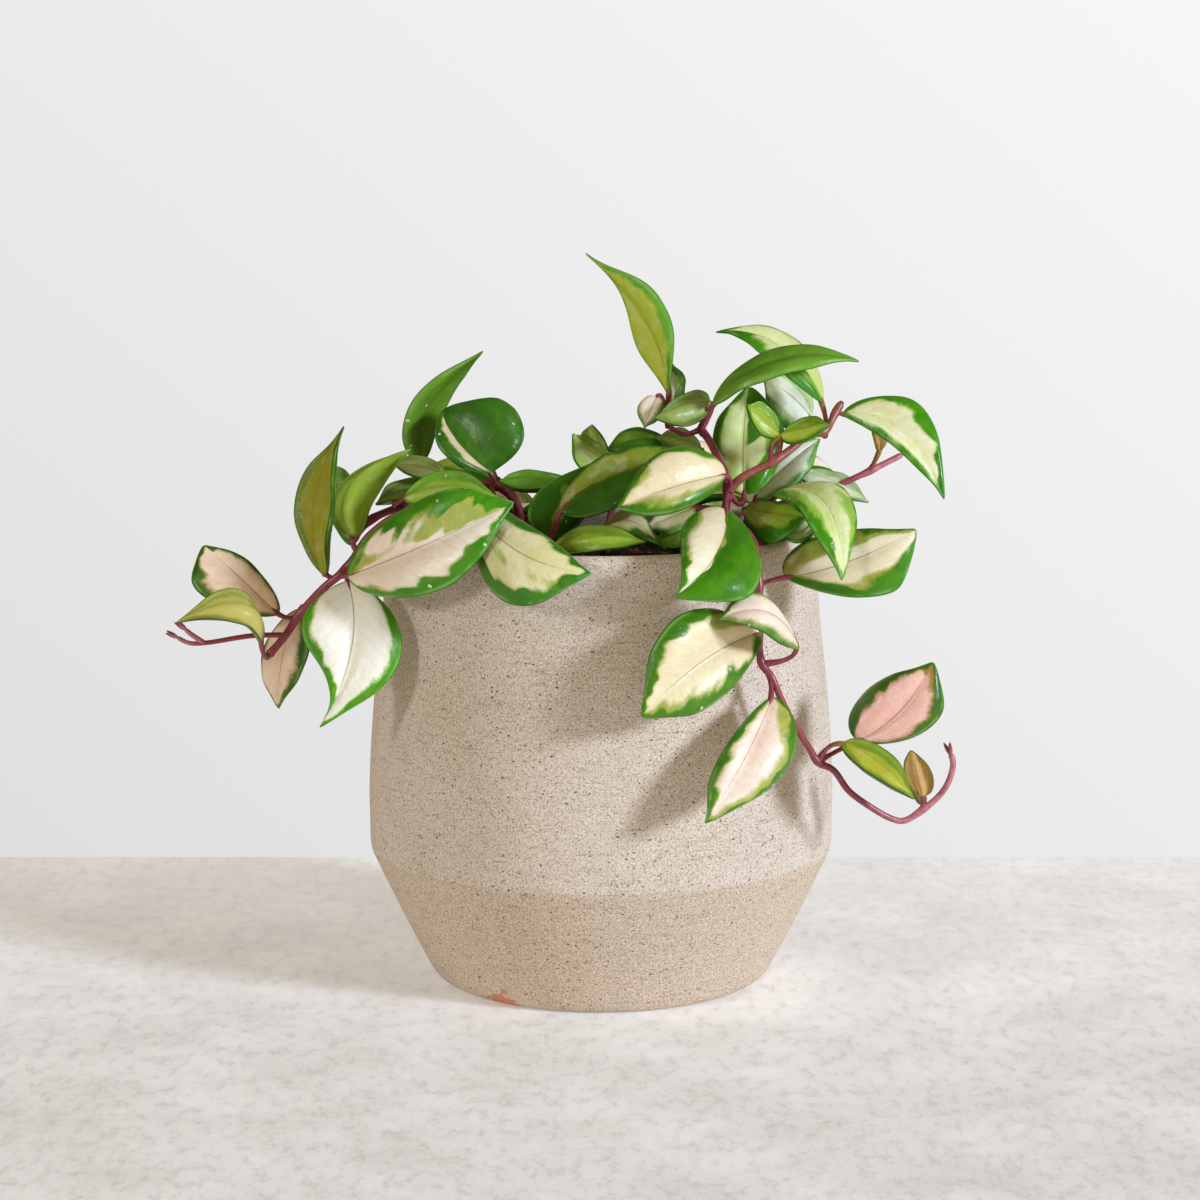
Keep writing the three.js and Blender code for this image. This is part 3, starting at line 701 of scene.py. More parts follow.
# %% Leaf colours
COLOURINGS = {
    "cream": ("fcf2e0", "f8e4d0", "a8b034", "409008", "9aac3c"),
    "white": ("fcfaec", "faf4e0", "b0cc50", "4c9c08", "a4b650"),
    "cream_green": ("f6f6d8", "ecf0b0", "9cc43c", "449408", "a9bf4c"),
    "butter": ("f0e4b8", "ecdab0", "a0ac34", "40800c", "a0a938"),
    "peach": ("f8f0d0", "f4e4c0", "a8ac34", "428c0a", "a3a63c"),
    "blushed": ("fcecd8", "f8d8c4", "b0b43c", "428014", "b4a548"),
    "rose": ("f0d8b8", "ecc4a4", "8e8824", "386810", "9a8f35"),
    "pink": ("f8bcb0", "fac8b8", "9c7c18", "3c6c10", "a88f3a"),
    "olive": ("ccc43c", "bca034", "849418", "30600c", "9cb02c"),
    "bronze": ("a49c24", "ac942c", "848c18", "3c680c", "8c9824"),
    "lime": ("b0c434", "bcc440", "7ca420", "44860e", "96b434"),
    "fresh": ("94bc2c", "a8c038", "70a820", "409010", "8cb43c"),
    "pale": ("f4fae0", "f8fce8", "b8d88c", "5c9838", "e0ecc0"),
    "dusty": ("98ac50", "a4b860", "84a048", "607c30", "8ca054"),
    "streak": ("ead4b0", "ecc8a8", "a8a848", "356e18", "7fa83e"),
    "deep": ("689c20", "7aa024", "5c9420", "38780c", "7aa83a"),
    "mid": ("78a438", "80ac38", "74a030", "6ea02c", "8cac50"),
    "light": ("c4dc78", "d0e084", "a0c84c", "68a42c", "b4cc64"),
    "gilded": ("a8d848", "accc3c", "98c038", "54941c", "a8c444"),
    "mossy": ("7c9c2c", "8c9430", "6c942c", "366c10", "7c9834"),
    "sage": ("c8c468", "ccb470", "989c34", "486818", "c0bc58"),
    "straw": ("ece6b8", "e4dc9c", "a4b84c", "3c7e14", "a8b84c"),
    "spring": ("e4ecac", "ccdc80", "94c038", "449408", "b0c850"),
    # This colouring is lighter than the leaf itself: painted light for a leaf that stands in the shade
    # of others.
    "mint": ("e8f8b0", "f0fcc0", "c4e888", "94c858", "d8f0a0"),
    # This colouring is brighter than the top leaf's own colour: painted light for the light that shines
    # through it.
    "glow": ("c0d43c", "ccd848", "98c034", "64a428", "a8c83c"),
    # This colouring is partly the leaves' own orange and partly painted light, lighter than the oval
    # leaf itself because the light only grazes it.
    "orange": ("f4c484", "f0c080", "b89440", "8c8030", "b58b3a"),
}
print(len(COLOURINGS), "colourings of", len(LAYERS), "colours")

# %% [markdown]
# ## Outline of a leaf
# Seen flat, a wax plant's leaf is an oval with a full round base and a drawn-out tip, widest a
# little before its middle. A sine from base to tip gives that with two numbers. The leaves
# differ most in how full they are, so some have a slimness of their own.

# %% Outline of a leaf
USUAL = 0.45
BASE_ROUNDNESS = 0.55
TIP_ROUNDNESS = 0.8
TIP_START = 0.72
TIP_NARROWING = 0.3
SLIM = {
    "top_leaf": (4.0, 1.7), "upright_olive": 1.3, "back_arch": 1.3, "folded_pink": (1.3, 1.6),
    "hanging_white": (1.0, 2.6), "far_pink": (0.8, 1.0), "round_green": (1.0, 0.55),
    "half_cream": (0.7, 1.2), "tall_cream": 0.7, "right_peach": (1.0, 0.8),
    "hanging_peach": (0.9, 1.2), "strong_pink": (1.0, 0.8), "front_cream": (0.75, 1.0),
    "orange_oval": 0.8,
}


def outline(along, widest, slim):
    """Half-width as a share: sin(pi u^p)^r, with p set so that it peaks at the widest place.

    r is small before that place, for a full round base, and larger after it, for a drawn tip.
    A slim leaf has both of them larger. The last part of the tip is narrowed once more.
    """
    roundness = slim * np.where(along < widest, BASE_ROUNDNESS, TIP_ROUNDNESS)
    swell = np.sin(np.pi * along ** (math.log(0.5) / np.log(widest))) ** roundness
    return swell * (1 - TIP_NARROWING * ramp(along, TIP_START, 1))


print("shares of the half-width at a quarter, half and three quarters:",
      outline(np.array([0.25, 0.5, 0.75]), USUAL, 1.0).round(2))

# %% [markdown]
# ## Blade
# The midrib is a quadratic curve through base, middle and tip, and the two halves of the
# outline reach from it to the left and right edges. On this form lie a low dome in each half, a
# groove over the midrib, an edge that rolls under and a slow wave along it. The blade is
# thickest in the middle and rounds off at the edge, and underneath the midrib stands out as a
# rib that fades towards the tip. A flat picture of a leaf on a bent plane would be less work,
# but its edge would look like paper's, and this leaf is fleshy.

# %% Blade
BLADE_THICKNESS, BLADE_DOME = 1.1, 0.16
SMALL_LEAF, SMALL_GRID, LARGE_GRID = 29.0, (30, 15), (46, 23)
WAVES = ((0.055, 0.7, 1.3), (0.022, 2.0, 3.2))
EDGE_ROLL = 0.8
RIB_HEIGHT, RIB_WIDTH = 0.55, 0.9
GROOVE_DEPTH, GROOVE_WIDTH = 0.12, 1.1
GOLDEN = 0.618  # whole numbers times the golden ratio spread evenly between 0 and 1


def blade(look, left_margin, right_margin, islands, widest, places, number, slim):
    """One closed blade: thin loops, each over the top from left to right and back below.

    A point is midrib(u) + outline(u) |v| half, where half is the left half's reach for v < 0
    and the right one's otherwise, lifted along the blade's facing by dome, groove, roll and
    wave. u goes from base to tip and v from left to right, closer together near their ends. A
    row of WAVES is a height as a share of the half-width, and the least and the most swings
    from base to tip. The two faces lie half a thickness above and below along the surface's
    own normal. Where the halves differ, islands, widest and slim are pairs, left then right.
    """
    _, base, middle, tip, left, right = (np.array(p, float) for p in places)
    length = np.linalg.norm(tip - base)
    rows, columns = LARGE_GRID if length >= SMALL_LEAF else SMALL_GRID
    u = 0.004 + 0.992 * (0.5 - 0.5 * np.cos(np.linspace(0, np.pi, rows)))
    v = np.sin(np.linspace(-np.pi / 2, np.pi / 2, columns))
    control = 2 * middle - (base + tip) / 2
    midrib, ahead = bend(base, control, tip, u)
    widest, slim = np.broadcast_to(widest, 2), np.broadcast_to(slim, 2)
    waists, _ = bend(base, control, tip, widest)
    side = (v > 0).astype(int)
    half = (np.stack([left, right]) - waists)[side]
    half_width = np.linalg.norm(half, axis=1)
    width = outline(u[:, None], widest[side], slim[side])
    reach = np.abs(v)[None, :]
    across = width * (v * half_width)[None, :]
    facing = unit(np.cross(right - left, ahead))
    dice = np.random.default_rng(number)
    wave = 0
    for height, low, high in WAVES:
        phase, swing = dice.uniform(0, 2 * np.pi, 2), dice.uniform(low, high)
        wave = wave + height * half_width[None, :] * width * reach**2 * np.sin(
            2 * np.pi * swing * u[:, None] + phase[side][None, :])
    lift = (BLADE_DOME * half_width[None, :] * width * 4 * reach * (1 - reach)
            - GROOVE_DEPTH * np.exp(-(across / GROOVE_WIDTH) ** 2) * ramp(width, 0.1, 0.5)
            - EDGE_ROLL * ramp(reach, 0.76, 1.0) * ramp(width, 0.1, 0.7) + wave)
    flat = midrib[:, None] + (width * reach)[..., None] * half[None]
    surface = flat + lift[..., None] * facing[:, None]
    normal = unit(np.cross(np.gradient(surface, axis=1), np.gradient(surface, axis=0)))
    taper = np.sqrt(1 - (2 * u[:, None] - 1) ** 8)
    thick = 0.5 * BLADE_THICKNESS * np.sqrt(1 - reach**7) * (0.25 + 0.75 * taper)
    rib = RIB_HEIGHT * np.exp(-(across / RIB_WIDTH) ** 2) * (1 - u[:, None]) ** 1.5
    top = surface + thick[..., None] * normal
    bottom = surface - (thick + rib * ramp(reach, 1.0, 0.6))[..., None] * normal

    def round_trip(upper, lower):
        return np.concatenate([upper, lower[:, -2:0:-1]], axis=1)

    grid = np.ones((rows, columns))
    measures = np.stack([u[:, None] * length * grid, across,
                         (1 - reach) * half_width * width**0.5 * grid], -1)
    margin = left_margin + (right_margin - left_margin) * ramp(v, -0.06, 0.06)
    islands = np.broadcast_to(islands, 2)[side]
    pattern = np.stack([margin * grid, islands * grid, GOLDEN * number % 1 * grid], -1)
    upper = np.stack([v * grid, u[:, None] * grid, 0 * grid], -1)
    lower = upper + (0, 0, 1)
    values = {"reach": round_trip(measures, measures), "pattern": round_trip(pattern, pattern),
              "blade": round_trip(upper, lower)}
    for layer, colour in zip(LAYERS, COLOURINGS[look]):
        values[layer] = np.array(linear(colour))[None, None]
    return skin(round_trip(top, bottom), np.stack([base, tip]), values)


sample = blade("cream", 3, 3, 0.5, USUAL, [
    (0, 0, 0), (0, 0, 0), (30, 0, 8), (60, 0, 0), (27, 15, 8), (27, -15, 8)], 0, 1.0)
print("a leaf 60 mm long has", len(sample["points"]), "points")

# %% [markdown]
# ## Stems
# A stem swells a little at each place where leaves stand and tapers to its tip. It could be a
# curve object with a bevel. A tube along a curve of our own has the same form, and each of its
# rings can carry a colour, from maroon where it is old to rose where it still grows.

# %% Stems
BARKS = {"maroon": "a04654", "rose": "c87c84", "blush": "cc747c", "russet": "a05848",
         "ochre": "aa8430"}
ROOT_DEPTH = 128.0
STEM_STEP, STEM_SIDES = 1.2, 18
STEM_TAPER, TIP_TAPER = 0.18, 0.55
NODE_SWELL, NODE_LENGTH = 0.28, 2.4


def bark(first, last, t):
    """The carried colour of a stem, from its first to its last colour, as rows x 1 x 4."""
    first, last = (np.array(linear(BARKS[name])) for name in (first, last))
    return (first + (last - first) * t[:, None])[:, None]


def stem(radius, first, last, places, joints, buried):
    """A tube along the places, swollen near its joints and narrower towards its tip.

    Its radius is r (1 - taper t) (1 + swell exp(-(d / length)^2)), d from the nearest joint.
    """
    path = smooth_path(places, STEM_STEP)
    if buried:
        start = path[0]
        depth = np.arange(ROOT_DEPTH, start[2], 2.0)
        below = np.stack([np.full_like(depth, start[0]), np.full_like(depth, start[1]), depth], -1)
        path = np.concatenate([below, path])
    t = np.linspace(0, 1, len(path))
    gap = np.linalg.norm(path[:, None] - joints[None], axis=-1).min(1)
    size = radius * (1 - STEM_TAPER * t) * (1 + NODE_SWELL * np.exp(-(gap / NODE_LENGTH) ** 2))
    size[-1] *= TIP_TAPER
    return tube(path, size, STEM_SIDES, {"bark": bark(first, last, ramp(t, 0.74, 0.9))}, 1)


print("stem colours:", *BARKS)

# %% [markdown]
# ## Petioles and buds
# A petiole is the short thick stalk of a leaf. It leaves the stem as a small elbow and runs
# into the blade's midrib, so there is no step between them. Where a stem still grows, a pair of
# folded leaves sits at its tip like two small spindles. Both are tubes as well.

# %% Petioles and buds
PETIOLE_RADIUS, PETIOLE_SIDES = 0.95, 14
PETIOLE_LEAD = 0.5
PETIOLE_END = 0.08
BUD_LENGTH, BUD_SIDES = 4.2, 10


def petiole(places, tint):
    """A short tube on a Bezier curve that comes into the blade along its midrib.

    It is thick at the elbow, thinner after it, thicker at the blade, and ends inside the rib.
    """
    start, base, middle, tip = (np.array(p, float) for p in places[:4])
    control = 2 * middle - (base + tip) / 2
    inside, _ = bend(base, control, tip, [PETIOLE_END])
    lead = PETIOLE_LEAD * np.linalg.norm(base - start) * unit(control - base)
    t = np.linspace(0, 1, 16)
    path, _ = bend(start, base - lead, inside[0], t)
    size = PETIOLE_RADIUS * (1.25 - 0.45 * ramp(t, 0, 0.35) + 0.2 * ramp(t, 0.5, 0.8)
                             - 0.55 * ramp(t, 0.85, 1))
    return tube(path, size, PETIOLE_SIDES, {"bark": bark("maroon", tint, ramp(t, 0.2, 0.9))}, 1)


def buds(places):
    """Two narrow buds at a stem's tip: radius 0.12 + 0.62 sin(pi t)^0.7 (1 - 0.35 t)."""
    end, ahead = np.array(places[-1], float), unit(np.subtract(places[-1], places[-2]))
    side = unit(np.cross(ahead, (0.3, 0.5, 0.8)))
    t = np.linspace(0, 1, 12)
    made = []
    for way in (-1, 1):
        apart = way * (0.5 + 0.9 * t[:, None] ** 2) * side
        path = end + (t[:, None] - 0.15) * BUD_LENGTH * ahead + apart
        size = 0.12 + 0.62 * np.sin(np.pi * t) ** 0.7 * (1 - 0.35 * t)
        made.append(tube(path, size, BUD_SIDES, {"bark": bark("rose", "maroon", t)}, 1))
    return made


bud, _ = buds([(0, 0, 0), (0, 0, 1)])
print("a bud is", round(float(np.ptp(bud["points"][:, 2])), 1), "mm long")

# %% [markdown]
# ## Vine
# A vine is one piece: its stems, a bud pair where one still grows, and a blade with its petiole
# for each leaf. Two materials are enough for all of it. Most petioles are maroon like the stem,
# and some of the pale leaves have ochre ones.

# %% Vine
OCHRE_PETIOLES = {"pair_left", "pair_right", "back_arch", "folded_cream", "tiny_orange",
                  "right_arch", "low_olive"}


def vine(name, stems, leaves):
    """Makes one piece of the skins of a vine's stems, buds, blades and petioles.

    The first stem comes out of the soil. The letters of a leaf's name, taken as numbers and
    added up, give the leaf the number that sets its waves and its marks.
    """
    joints = np.array([places[0] for *_, places in leaves.values()], float)
    skins = []
    for k, (radius, first, last, places) in enumerate(stems):
        skins.append(stem(radius, first, last, places, joints, buried=k == 0))
        if last == "rose":
            skins += buds(places)
    for leaf, (look, *widths, places) in leaves.items():
        number = sum(ord(letter) for letter in name + leaf)
        skins.append(blade(look, *widths, places, number, SLIM.get(leaf, 1.0)))
        skins.append(petiole(places, "ochre" if leaf in OCHRE_PETIOLES else "maroon"))
    piece(name + "_grown", skins, [WAXY_BLADE, STEM_SKIN], name)

# %% [markdown]
# ## Where the vines grow
# A vine is its stems and the leaves on them. A stem is a radius, its colours at both ends and
# the places along it. A leaf is its colouring, the width of the green at its left and right
# edge, how many islands it has, where it is widest, and six places: where its petiole leaves
# the stem, the blade's base, the middle of the midrib, the tip, and the left and right edges
# at the widest part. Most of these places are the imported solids' own, and the others lie within
# a few millimetres of them, so each fine leaf stands where its plain one did. Where a pair
# stands for one value, it is the left half's and the right half's. A width of 30 is a leaf that
# is green all over on that side. Leaves scattered by a rule would be less to write, but they
# would make another plant.

# %% [markdown]
# ## Left vine
# This vine reaches furthest to the left. It climbs over the rim and turns down beside the
# planter, and the largest cream leaf stands on it. Its two thin rosy shoots still grow, so they
# end in buds.

# %% Left vine
vine("vine_left", stems=[
    (1.5, "maroon", "maroon", [(-49, -18, 142), (-55, -20, 153), (-64, -24, 157),
        (-74, -26, 151), (-82, -26, 140), (-90, -25, 133), (-98, -23, 124),
        (-102, -24, 118), (-108, -25, 111)]),
    (0.9, "maroon", "rose", [(-102, -24, 118), (-113, -26, 118), (-128, -28, 116),
        (-133, -28, 116), (-137, -28, 118)]),
    (0.9, "rose", "rose", [(-128, -28, 116), (-132, -29, 119), (-134, -30, 121)]),
], leaves={
    "big_cream": ("cream", 6.5, 4.0, (0.9, 0.25), USUAL, [
        (-82,-26,140), (-80,-43,140), (-53,-60,153), (-27,-62,166), (-56,-56,167), (-50,-68,140)]),
    "hanging_white": ("white", 3.2, 3.4, 0.15, (0.45, 0.3), [
        (-82,-26,140), (-81,-34,137), (-79,-48,117), (-89,-52,93), (-63,-50,117), (-95,-46,124)]),
    "upright_olive": ("bronze", 4.5, 2.0, (0.9, 0.5), USUAL, [
        (-82,-26,140), (-89,-24,137), (-92,-22,160), (-83,-16,185), (-86,-36,163), (-99,-12,158)]),
    "far_pink": ("rose", 2.8, 2.8, 0.2, (0.6, 0.45), [
        (-98,-23,124), (-105,-20,124), (-118,-18,136), (-129,-16,146), (-130,-24,132), (-113,-12,139)]),
    "far_olive": ("sage", 2.0, 2.0, 0.4, USUAL, [
        (-108,-25,111), (-109,-34,118), (-114,-40,130), (-135,-42,125), (-116,-32,134), (-114,-46,125)]),
    "far_hanging": ("rose", 2.2, 2.2, 0.4, USUAL, [
        (-98,-23,124), (-98,-14,125), (-104,-12,109), (-106,-10,91), (-96,-18,111), (-112,-6,108)]),
    "small_yellow": ("lime", 1.5, 1.5, 0.4, USUAL, [
        (-82,-26,140), (-81,-24,135), (-76,-25,131), (-70,-30,128), (-77,-30,129), (-76,-19,133)]),
})

# %% [markdown]
# ## Rear left vine
# This vine has nearly turned back to green. It carries the upright and the round dark leaf
# behind the left one, and a side shoot brings one cream leaf forward over the rim.

# %% Rear left vine
vine("vine_left_rear", stems=[
    (1.5, "maroon", "maroon", [(-26, 6, 142), (-28, 6, 157), (-36, 0, 164), (-48, 4, 161),
        (-63, 6, 157), (-76, 3, 152), (-82, -2, 146)]),
    (0.9, "maroon", "maroon", [(-36, 0, 164), (-35, -18, 160), (-39, -36, 159)]),
], leaves={
    "upright_green": ("mid", 30, 30, 0, USUAL, [
        (-63,6,157), (-60,14,170), (-57,16,189), (-39,12,207), (-64,12,187), (-51,26,189)]),
    "round_green": ("streak", 3.6, 30, 0.3, 0.5, [
        (-36,0,164), (-36,-2,168), (-46,2,177), (-53,9,187), (-52,-8,176), (-28,4,189)]),
    "rim_cream": ("straw", 3.0, 4.8, 0.7, 0.42, [
        (-39,-36,159), (-40,-47,162), (-24,-72,151), (-3,-77,146), (-20,-62,158), (-31,-75,138)]),
    "curled_light": ("gilded", 2.5, 2.5, 0.7, USUAL, [
        (-82,-2,146), (-82,-6,148), (-82,0,164), (-62,-2,176), (-73,-5,160), (-88,3,161)]),
    "dark_small": ("deep", 6, 6, 0, USUAL, [
        (-82,-2,146), (-82,6,143), (-85,10,150), (-90,14,156), (-89,14,148), (-81,10,153)]),
    "tiny_green": ("mid", 5, 5, 0, USUAL, [
        (-76,3,152), (-82,14,153), (-86,18,161), (-89,20,168), (-83,20,163), (-89,22,160)]),
    "light_under": ("fresh", 3, 3, 0.5, 0.5, [
        (-63,6,157), (-64,-14,161), (-48,-18,165), (-32,-24,162), (-47,-26,160), (-50,-8,169)]),
    "grey_green": ("dusty", 5, 5, 0.3, USUAL, [
        (-48,4,161), (-53,-2,163), (-64,-2,162), (-74,-4,158), (-65,6,165), (-63,-10,160)]),
    "small_curled": ("mint", 1.2, 1.2, 0.3, USUAL, [
        (-48,4,161), (-51,4,166), (-60,4,169), (-68,4,170), (-59,10,172), (-60,0,166)]),
})

# %% [markdown]
# ## Centre vine
# The middle of the plant is full of small leaves on one short stem, most of them green. A side
# shoot runs to the front rim.

# %% Centre vine
vine("vine_centre", stems=[
    (1.2, "maroon", "maroon", [(0, -20, 142), (2, -24, 152), (4, -16, 161), (5, -8, 170),
        (13, 2, 173), (22, 4, 175), (33, 2, 175)]),
    (1.2, "maroon", "maroon", [(2, -24, 152), (-8, -36, 149), (-16, -42, 150),
        (-14, -44, 157)]),
], leaves={
    "long_folded": ("mossy", 4.0, 30, 0.25, 0.4, [
        (-14,-44,157), (-13,-44,161), (12,-38,174), (40,-44,174), (5,-30,179), (15,-44,166)]),
    "dark_oval": ("deep", 9, 9, 0.2, USUAL, [
        (-16,-42,150), (-16,-40,152), (-12,-32,164), (0,-26,175), (-22,-30,163), (-3,-26,160)]),
    "left_pointing": ("deep", 6, 4, 0.5, USUAL, [
        (4,-16,161), (-7,-14,166), (-20,-12,167), (-33,-14,167), (-23,-8,169), (-23,-20,164)]),
    "bright_fold": ("light", 3, 3, 0.4, USUAL, [
        (5,-8,170), (4,-6,172), (-3,-8,175), (-9,-10,182), (-2,0,178), (-7,-14,171)]),
    "bright_tip": ("light", 3, 3, 0.4, USUAL, [
        (5,-8,170), (1,6,174), (-2,8,178), (-3,8,183), (2,6,177), (-6,10,178)]),
    "dark_yellow": ("deep", 5, 5, 0.6, USUAL, [
        (22,4,175), (22,8,177), (12,6,178), (2,2,175), (13,-2,175), (11,14,181)]),
    "grey_fold": ("dusty", 3, 3, 0.2, USUAL, [
        (33,2,175), (33,0,175), (26,2,178), (18,4,179), (27,8,181), (25,-4,175)]),
    "rim_olive": ("gilded", 2.5, 4, 0.6, USUAL, [
        (-16,-42,150), (-15,-50,149), (-2,-57,154), (14,-58,153), (0,-59,150), (-5,-46,156)]),
    "rim_variegated": ("straw", 2.2, 3.4, 0.5, USUAL, [
        (2,-24,152), (1,-34,153), (9,-40,157), (18,-50,151), (10,-32,160), (5,-44,153)]),
})

# %% [markdown]
# ## Right vine
# This is the tallest vine. A thin shoot at its top holds up the long lime green leaf, and a
# reddish branch to the right bears a small pale pair and the two arching leaves.

# %% Right vine
vine("vine_right", stems=[
    (1.5, "maroon", "maroon", [(37, -24, 142), (39, -34, 157), (40, -42, 167),
        (39, -36, 173), (37, -28, 177), (34, -20, 182), (32, -18, 184)]),
    (1.35, "russet", "russet", [(40, -42, 167), (44, -42, 171), (50, -40, 174),
        (54, -40, 176), (59, -38, 179), (66, -34, 184), (71, -32, 185), (75, -28, 191),
        (77, -27, 194)]),
    (0.9, "maroon", "maroon", [(32, -18, 184), (27, -12, 182), (22, -8, 184)]),
], leaves={
    "under_cream": ("straw", 1.0, 1.0, 0.2, USUAL, [
        (39,-34,157), (30,-36,161), (21,-36,157), (15,-38,155), (23,-40,153), (20,-30,160)]),
    "dark_edge": ("deep", 4, 4, 0.4, USUAL, [
        (39,-34,157), (33,-36,156), (24,-42,153), (17,-48,151), (23,-34,155), (25,-48,150)]),
    "peach": ("butter", 2.8, 3.6, 0.5, USUAL, [
        (40,-42,167), (39,-48,173), (22,-58,170), (5,-62,164), (23,-62,163), (21,-50,182)]),
    "half_cream": ("peach", 30, 3.0, 0.6, (0.6, 0.25), [
        (40,-42,167), (39,-50,162), (35,-80,152), (22,-91,141), (47,-86,143), (25,-72,159)]),
    "pair_left": ("lime", 1.6, 1.6, 0.5, USUAL, [
        (54,-40,176), (56,-36,184), (51,-38,189), (46,-38,194), (53,-34,193), (49,-42,186)]),
    "pair_right": ("lime", 1.6, 1.6, 0.5, USUAL, [
        (54,-40,176), (57,-36,184), (64,-38,186), (72,-40,188), (63,-42,182), (65,-32,189)]),
    "pale_back": ("pale", 2.4, 2.4, 1.0, USUAL, [
        (71,-32,185), (68,-9,187), (62,-6,193.5), (53,-3,199), (57,-11,186), (66,0,199)]),
    "tall_cream": ("spring", 2.5, 8.0, 0.9, 0.55, [
        (40,-42,167), (46,-26,164), (46,-18,180), (48,-10,197), (36,-16,181), (59,-18,182)]),
    "back_arch": ("spring", 2.8, 2.4, 0.7, USUAL, [
        (71,-32,185), (71,-22,193), (58,-16,210), (37,-12,215), (54,-26,208), (62,-6,213)]),
    "right_arch": ("cream_green", 5.2, 1.6, 0.3, 0.5, [
        (75,-28,191), (77,-28,190), (95,-38,183), (108,-46,165), (101,-34,194), (92,-44,182)]),
    "top_leaf": ("glow", 1.6, 1.6, 0.4, (0.4, 0.62), [
        (22,-8,184), (22,-8,193), (15.5,-6,217), (-5,-4,240), (10.5,2,211.5), (17.9,-13,226.5)]),
    "top_dark": ("pale", 2.5, 2.5, 0.4, USUAL, [
        (22,-8,184), (23,-4,190), (25,-2,197), (23,0,204), (23,2,196), (27,-8,197)]),
    "small_white": ("cream", 0.6, 0.6, 0.2, USUAL, [
        (22,-8,184), (18,-14,194), (16,-18,190), (14,-22,185), (20,-18,190), (12,-16,192)]),
    "dusty_olive": ("dusty", 3, 3, 0.4, USUAL, [
        (32,-18,184), (35,-20,193), (27,-26,192), (17,-30,189), (28,-18,196), (28,-30,186)]),
    "large_dark": ("mid", 30, 30, 0, USUAL, [
        (32,-18,184), (36,-24,193), (56,-30,207), (82,-30,207), (54,-22,210), (53,-38,203)]),
})

# %% [markdown]
# ## Low right vine
# A short vine that leans over the right rim, in pale green and cream, with a tiny new orange
# leaf near its end.

# %% Low right vine
vine("vine_right_low", stems=[
    (1.2, "maroon", "blush", [(54, -8, 142), (56, -12, 157), (59, -12, 159),
        (68, -10, 162), (76, -8, 164), (83, -6, 167), (88, -4, 169), (99, 0, 174)]),
], leaves={
    "folded_cream": ("spring", 3.6, 2.6, 0.7, 0.5, [
        (56,-12,157), (56,-28,164), (70,-53,164), (74,-72,143), (79,-42,165), (62,-62,163)]),
    "pale_green": ("pale", 2.5, 2.5, 0.6, USUAL, [
        (68,-10,162), (65,-6,168), (75,-10,166), (87,-14,160), (73,-16,163), (77,-2,168)]),
    "dark_rim": ("fresh", 2.5, 5, 0.7, USUAL, [
        (56,-12,157), (46,-25,159), (55,-38,159), (65,-42,159), (57,-30,162), (53,-48,152)]),
    "pale_rim": ("pale", 2, 2, 0.6, USUAL, [
        (68,-10,162), (72,-24,158), (65,-40,154), (57,-46,153), (65,-34,156), (66,-46,153)]),
    "pale_cream": ("pale", 1.2, 1.2, 0.4, USUAL, [
        (59,-12,159), (50,-12,161), (60,-6,170), (72,0,179), (59,0,175), (64,-12,166)]),
    "tiny_orange": ("orange", 0.8, 0.8, 0.3, USUAL, [
        (88,-4,169), (91,-6,176), (91,-7,180), (88,-8,184), (89,-6,179), (93,-8,181)]),
})

# %% [markdown]
# ## Trailing vine
# The longest vine hangs down in front of the planter and turns up again at its end, as a shoot
# does that looks for light. It has the pinkest leaves, since young leaves of this kind are pink.

# %% Trailing vine
vine("vine_trailing", stems=[
    (1.2, "maroon", "rose", [(43, -30, 142), (44, -48, 156), (48, -60, 152),
        (49, -64, 140), (49, -66, 125), (50, -66, 116), (53, -67, 112), (56, -67, 105),
        (60, -66, 97), (65, -63, 89), (68, -62, 84), (73, -60, 81), (78, -58, 74),
        (84, -56, 69), (92, -54, 64), (96, -53, 63), (102, -51, 66), (108, -50, 71),
        (111, -49, 76), (112, -48, 81), (111, -48, 84)]),
], leaves={
    "right_peach": ("peach", 4.4, 3.4, (1.0, 0.5), (0.4, 0.68), [
        (49,-64,140), (58,-52,141), (78,-58,147), (98,-58,157), (70,-46,154), (90,-62,138)]),
    "front_cream": ("butter", 4.4, 4.2, (0.4, 0.8), (0.6, 0.45), [
        (49,-66,125), (49,-67,126), (31,-83,120), (12,-94,105), (35,-84,107), (23,-86,134)]),
    "folded_pink": ("blushed", 1.0, 3.0, 0.3, (0.45, 0.6), [
        (50,-66,116), (61,-72,122), (50,-84,135), (35,-84,132), (49,-88,130), (45,-78,141)]),
    "hanging_peach": ("blushed", 4.4, 2.4, (0.45, 0.1), (0.55, 0.5), [
        (50,-66,116), (53,-70,106), (43.5,-85,89), (31.5,-93,71.5), (58,-80,86),
        (36.5,-86,91)]),
    "strong_pink": ("pink", 3.6, 2.6, (1.4, 0.6), (0.45, 0.6), [
        (68,-62,84), (81,-58,90), (94,-60,100), (104,-58,115), (83,-54,105), (105,-62,97)]),
    "low_olive": ("olive", 3, 3, 0.7, USUAL, [
        (68,-62,84), (76,-62,90), (88,-66,83), (98,-66,73), (83,-72,82), (89,-60,87)]),
    "orange_oval": ("orange", 1.0, 1.0, 0.6, 0.5, [
        (102,-51,66), (102,-52,71), (100,-54,78), (98,-54,86), (105,-54,78), (96,-54,79)]),
    "grey_sliver": ("dusty", 1, 1, 0.2, USUAL, [
        (102,-51,66), (103,-50,68), (101,-50,72), (98,-50,76), (102,-52,73), (100,-48,70)]),
})

# %% [markdown]
# ## Vines at the back
# Three vines hang over the back, so that the plant is whole from every side. Their leaves are
# of the same kinds and sizes as those in front. The first one comes over the middle.

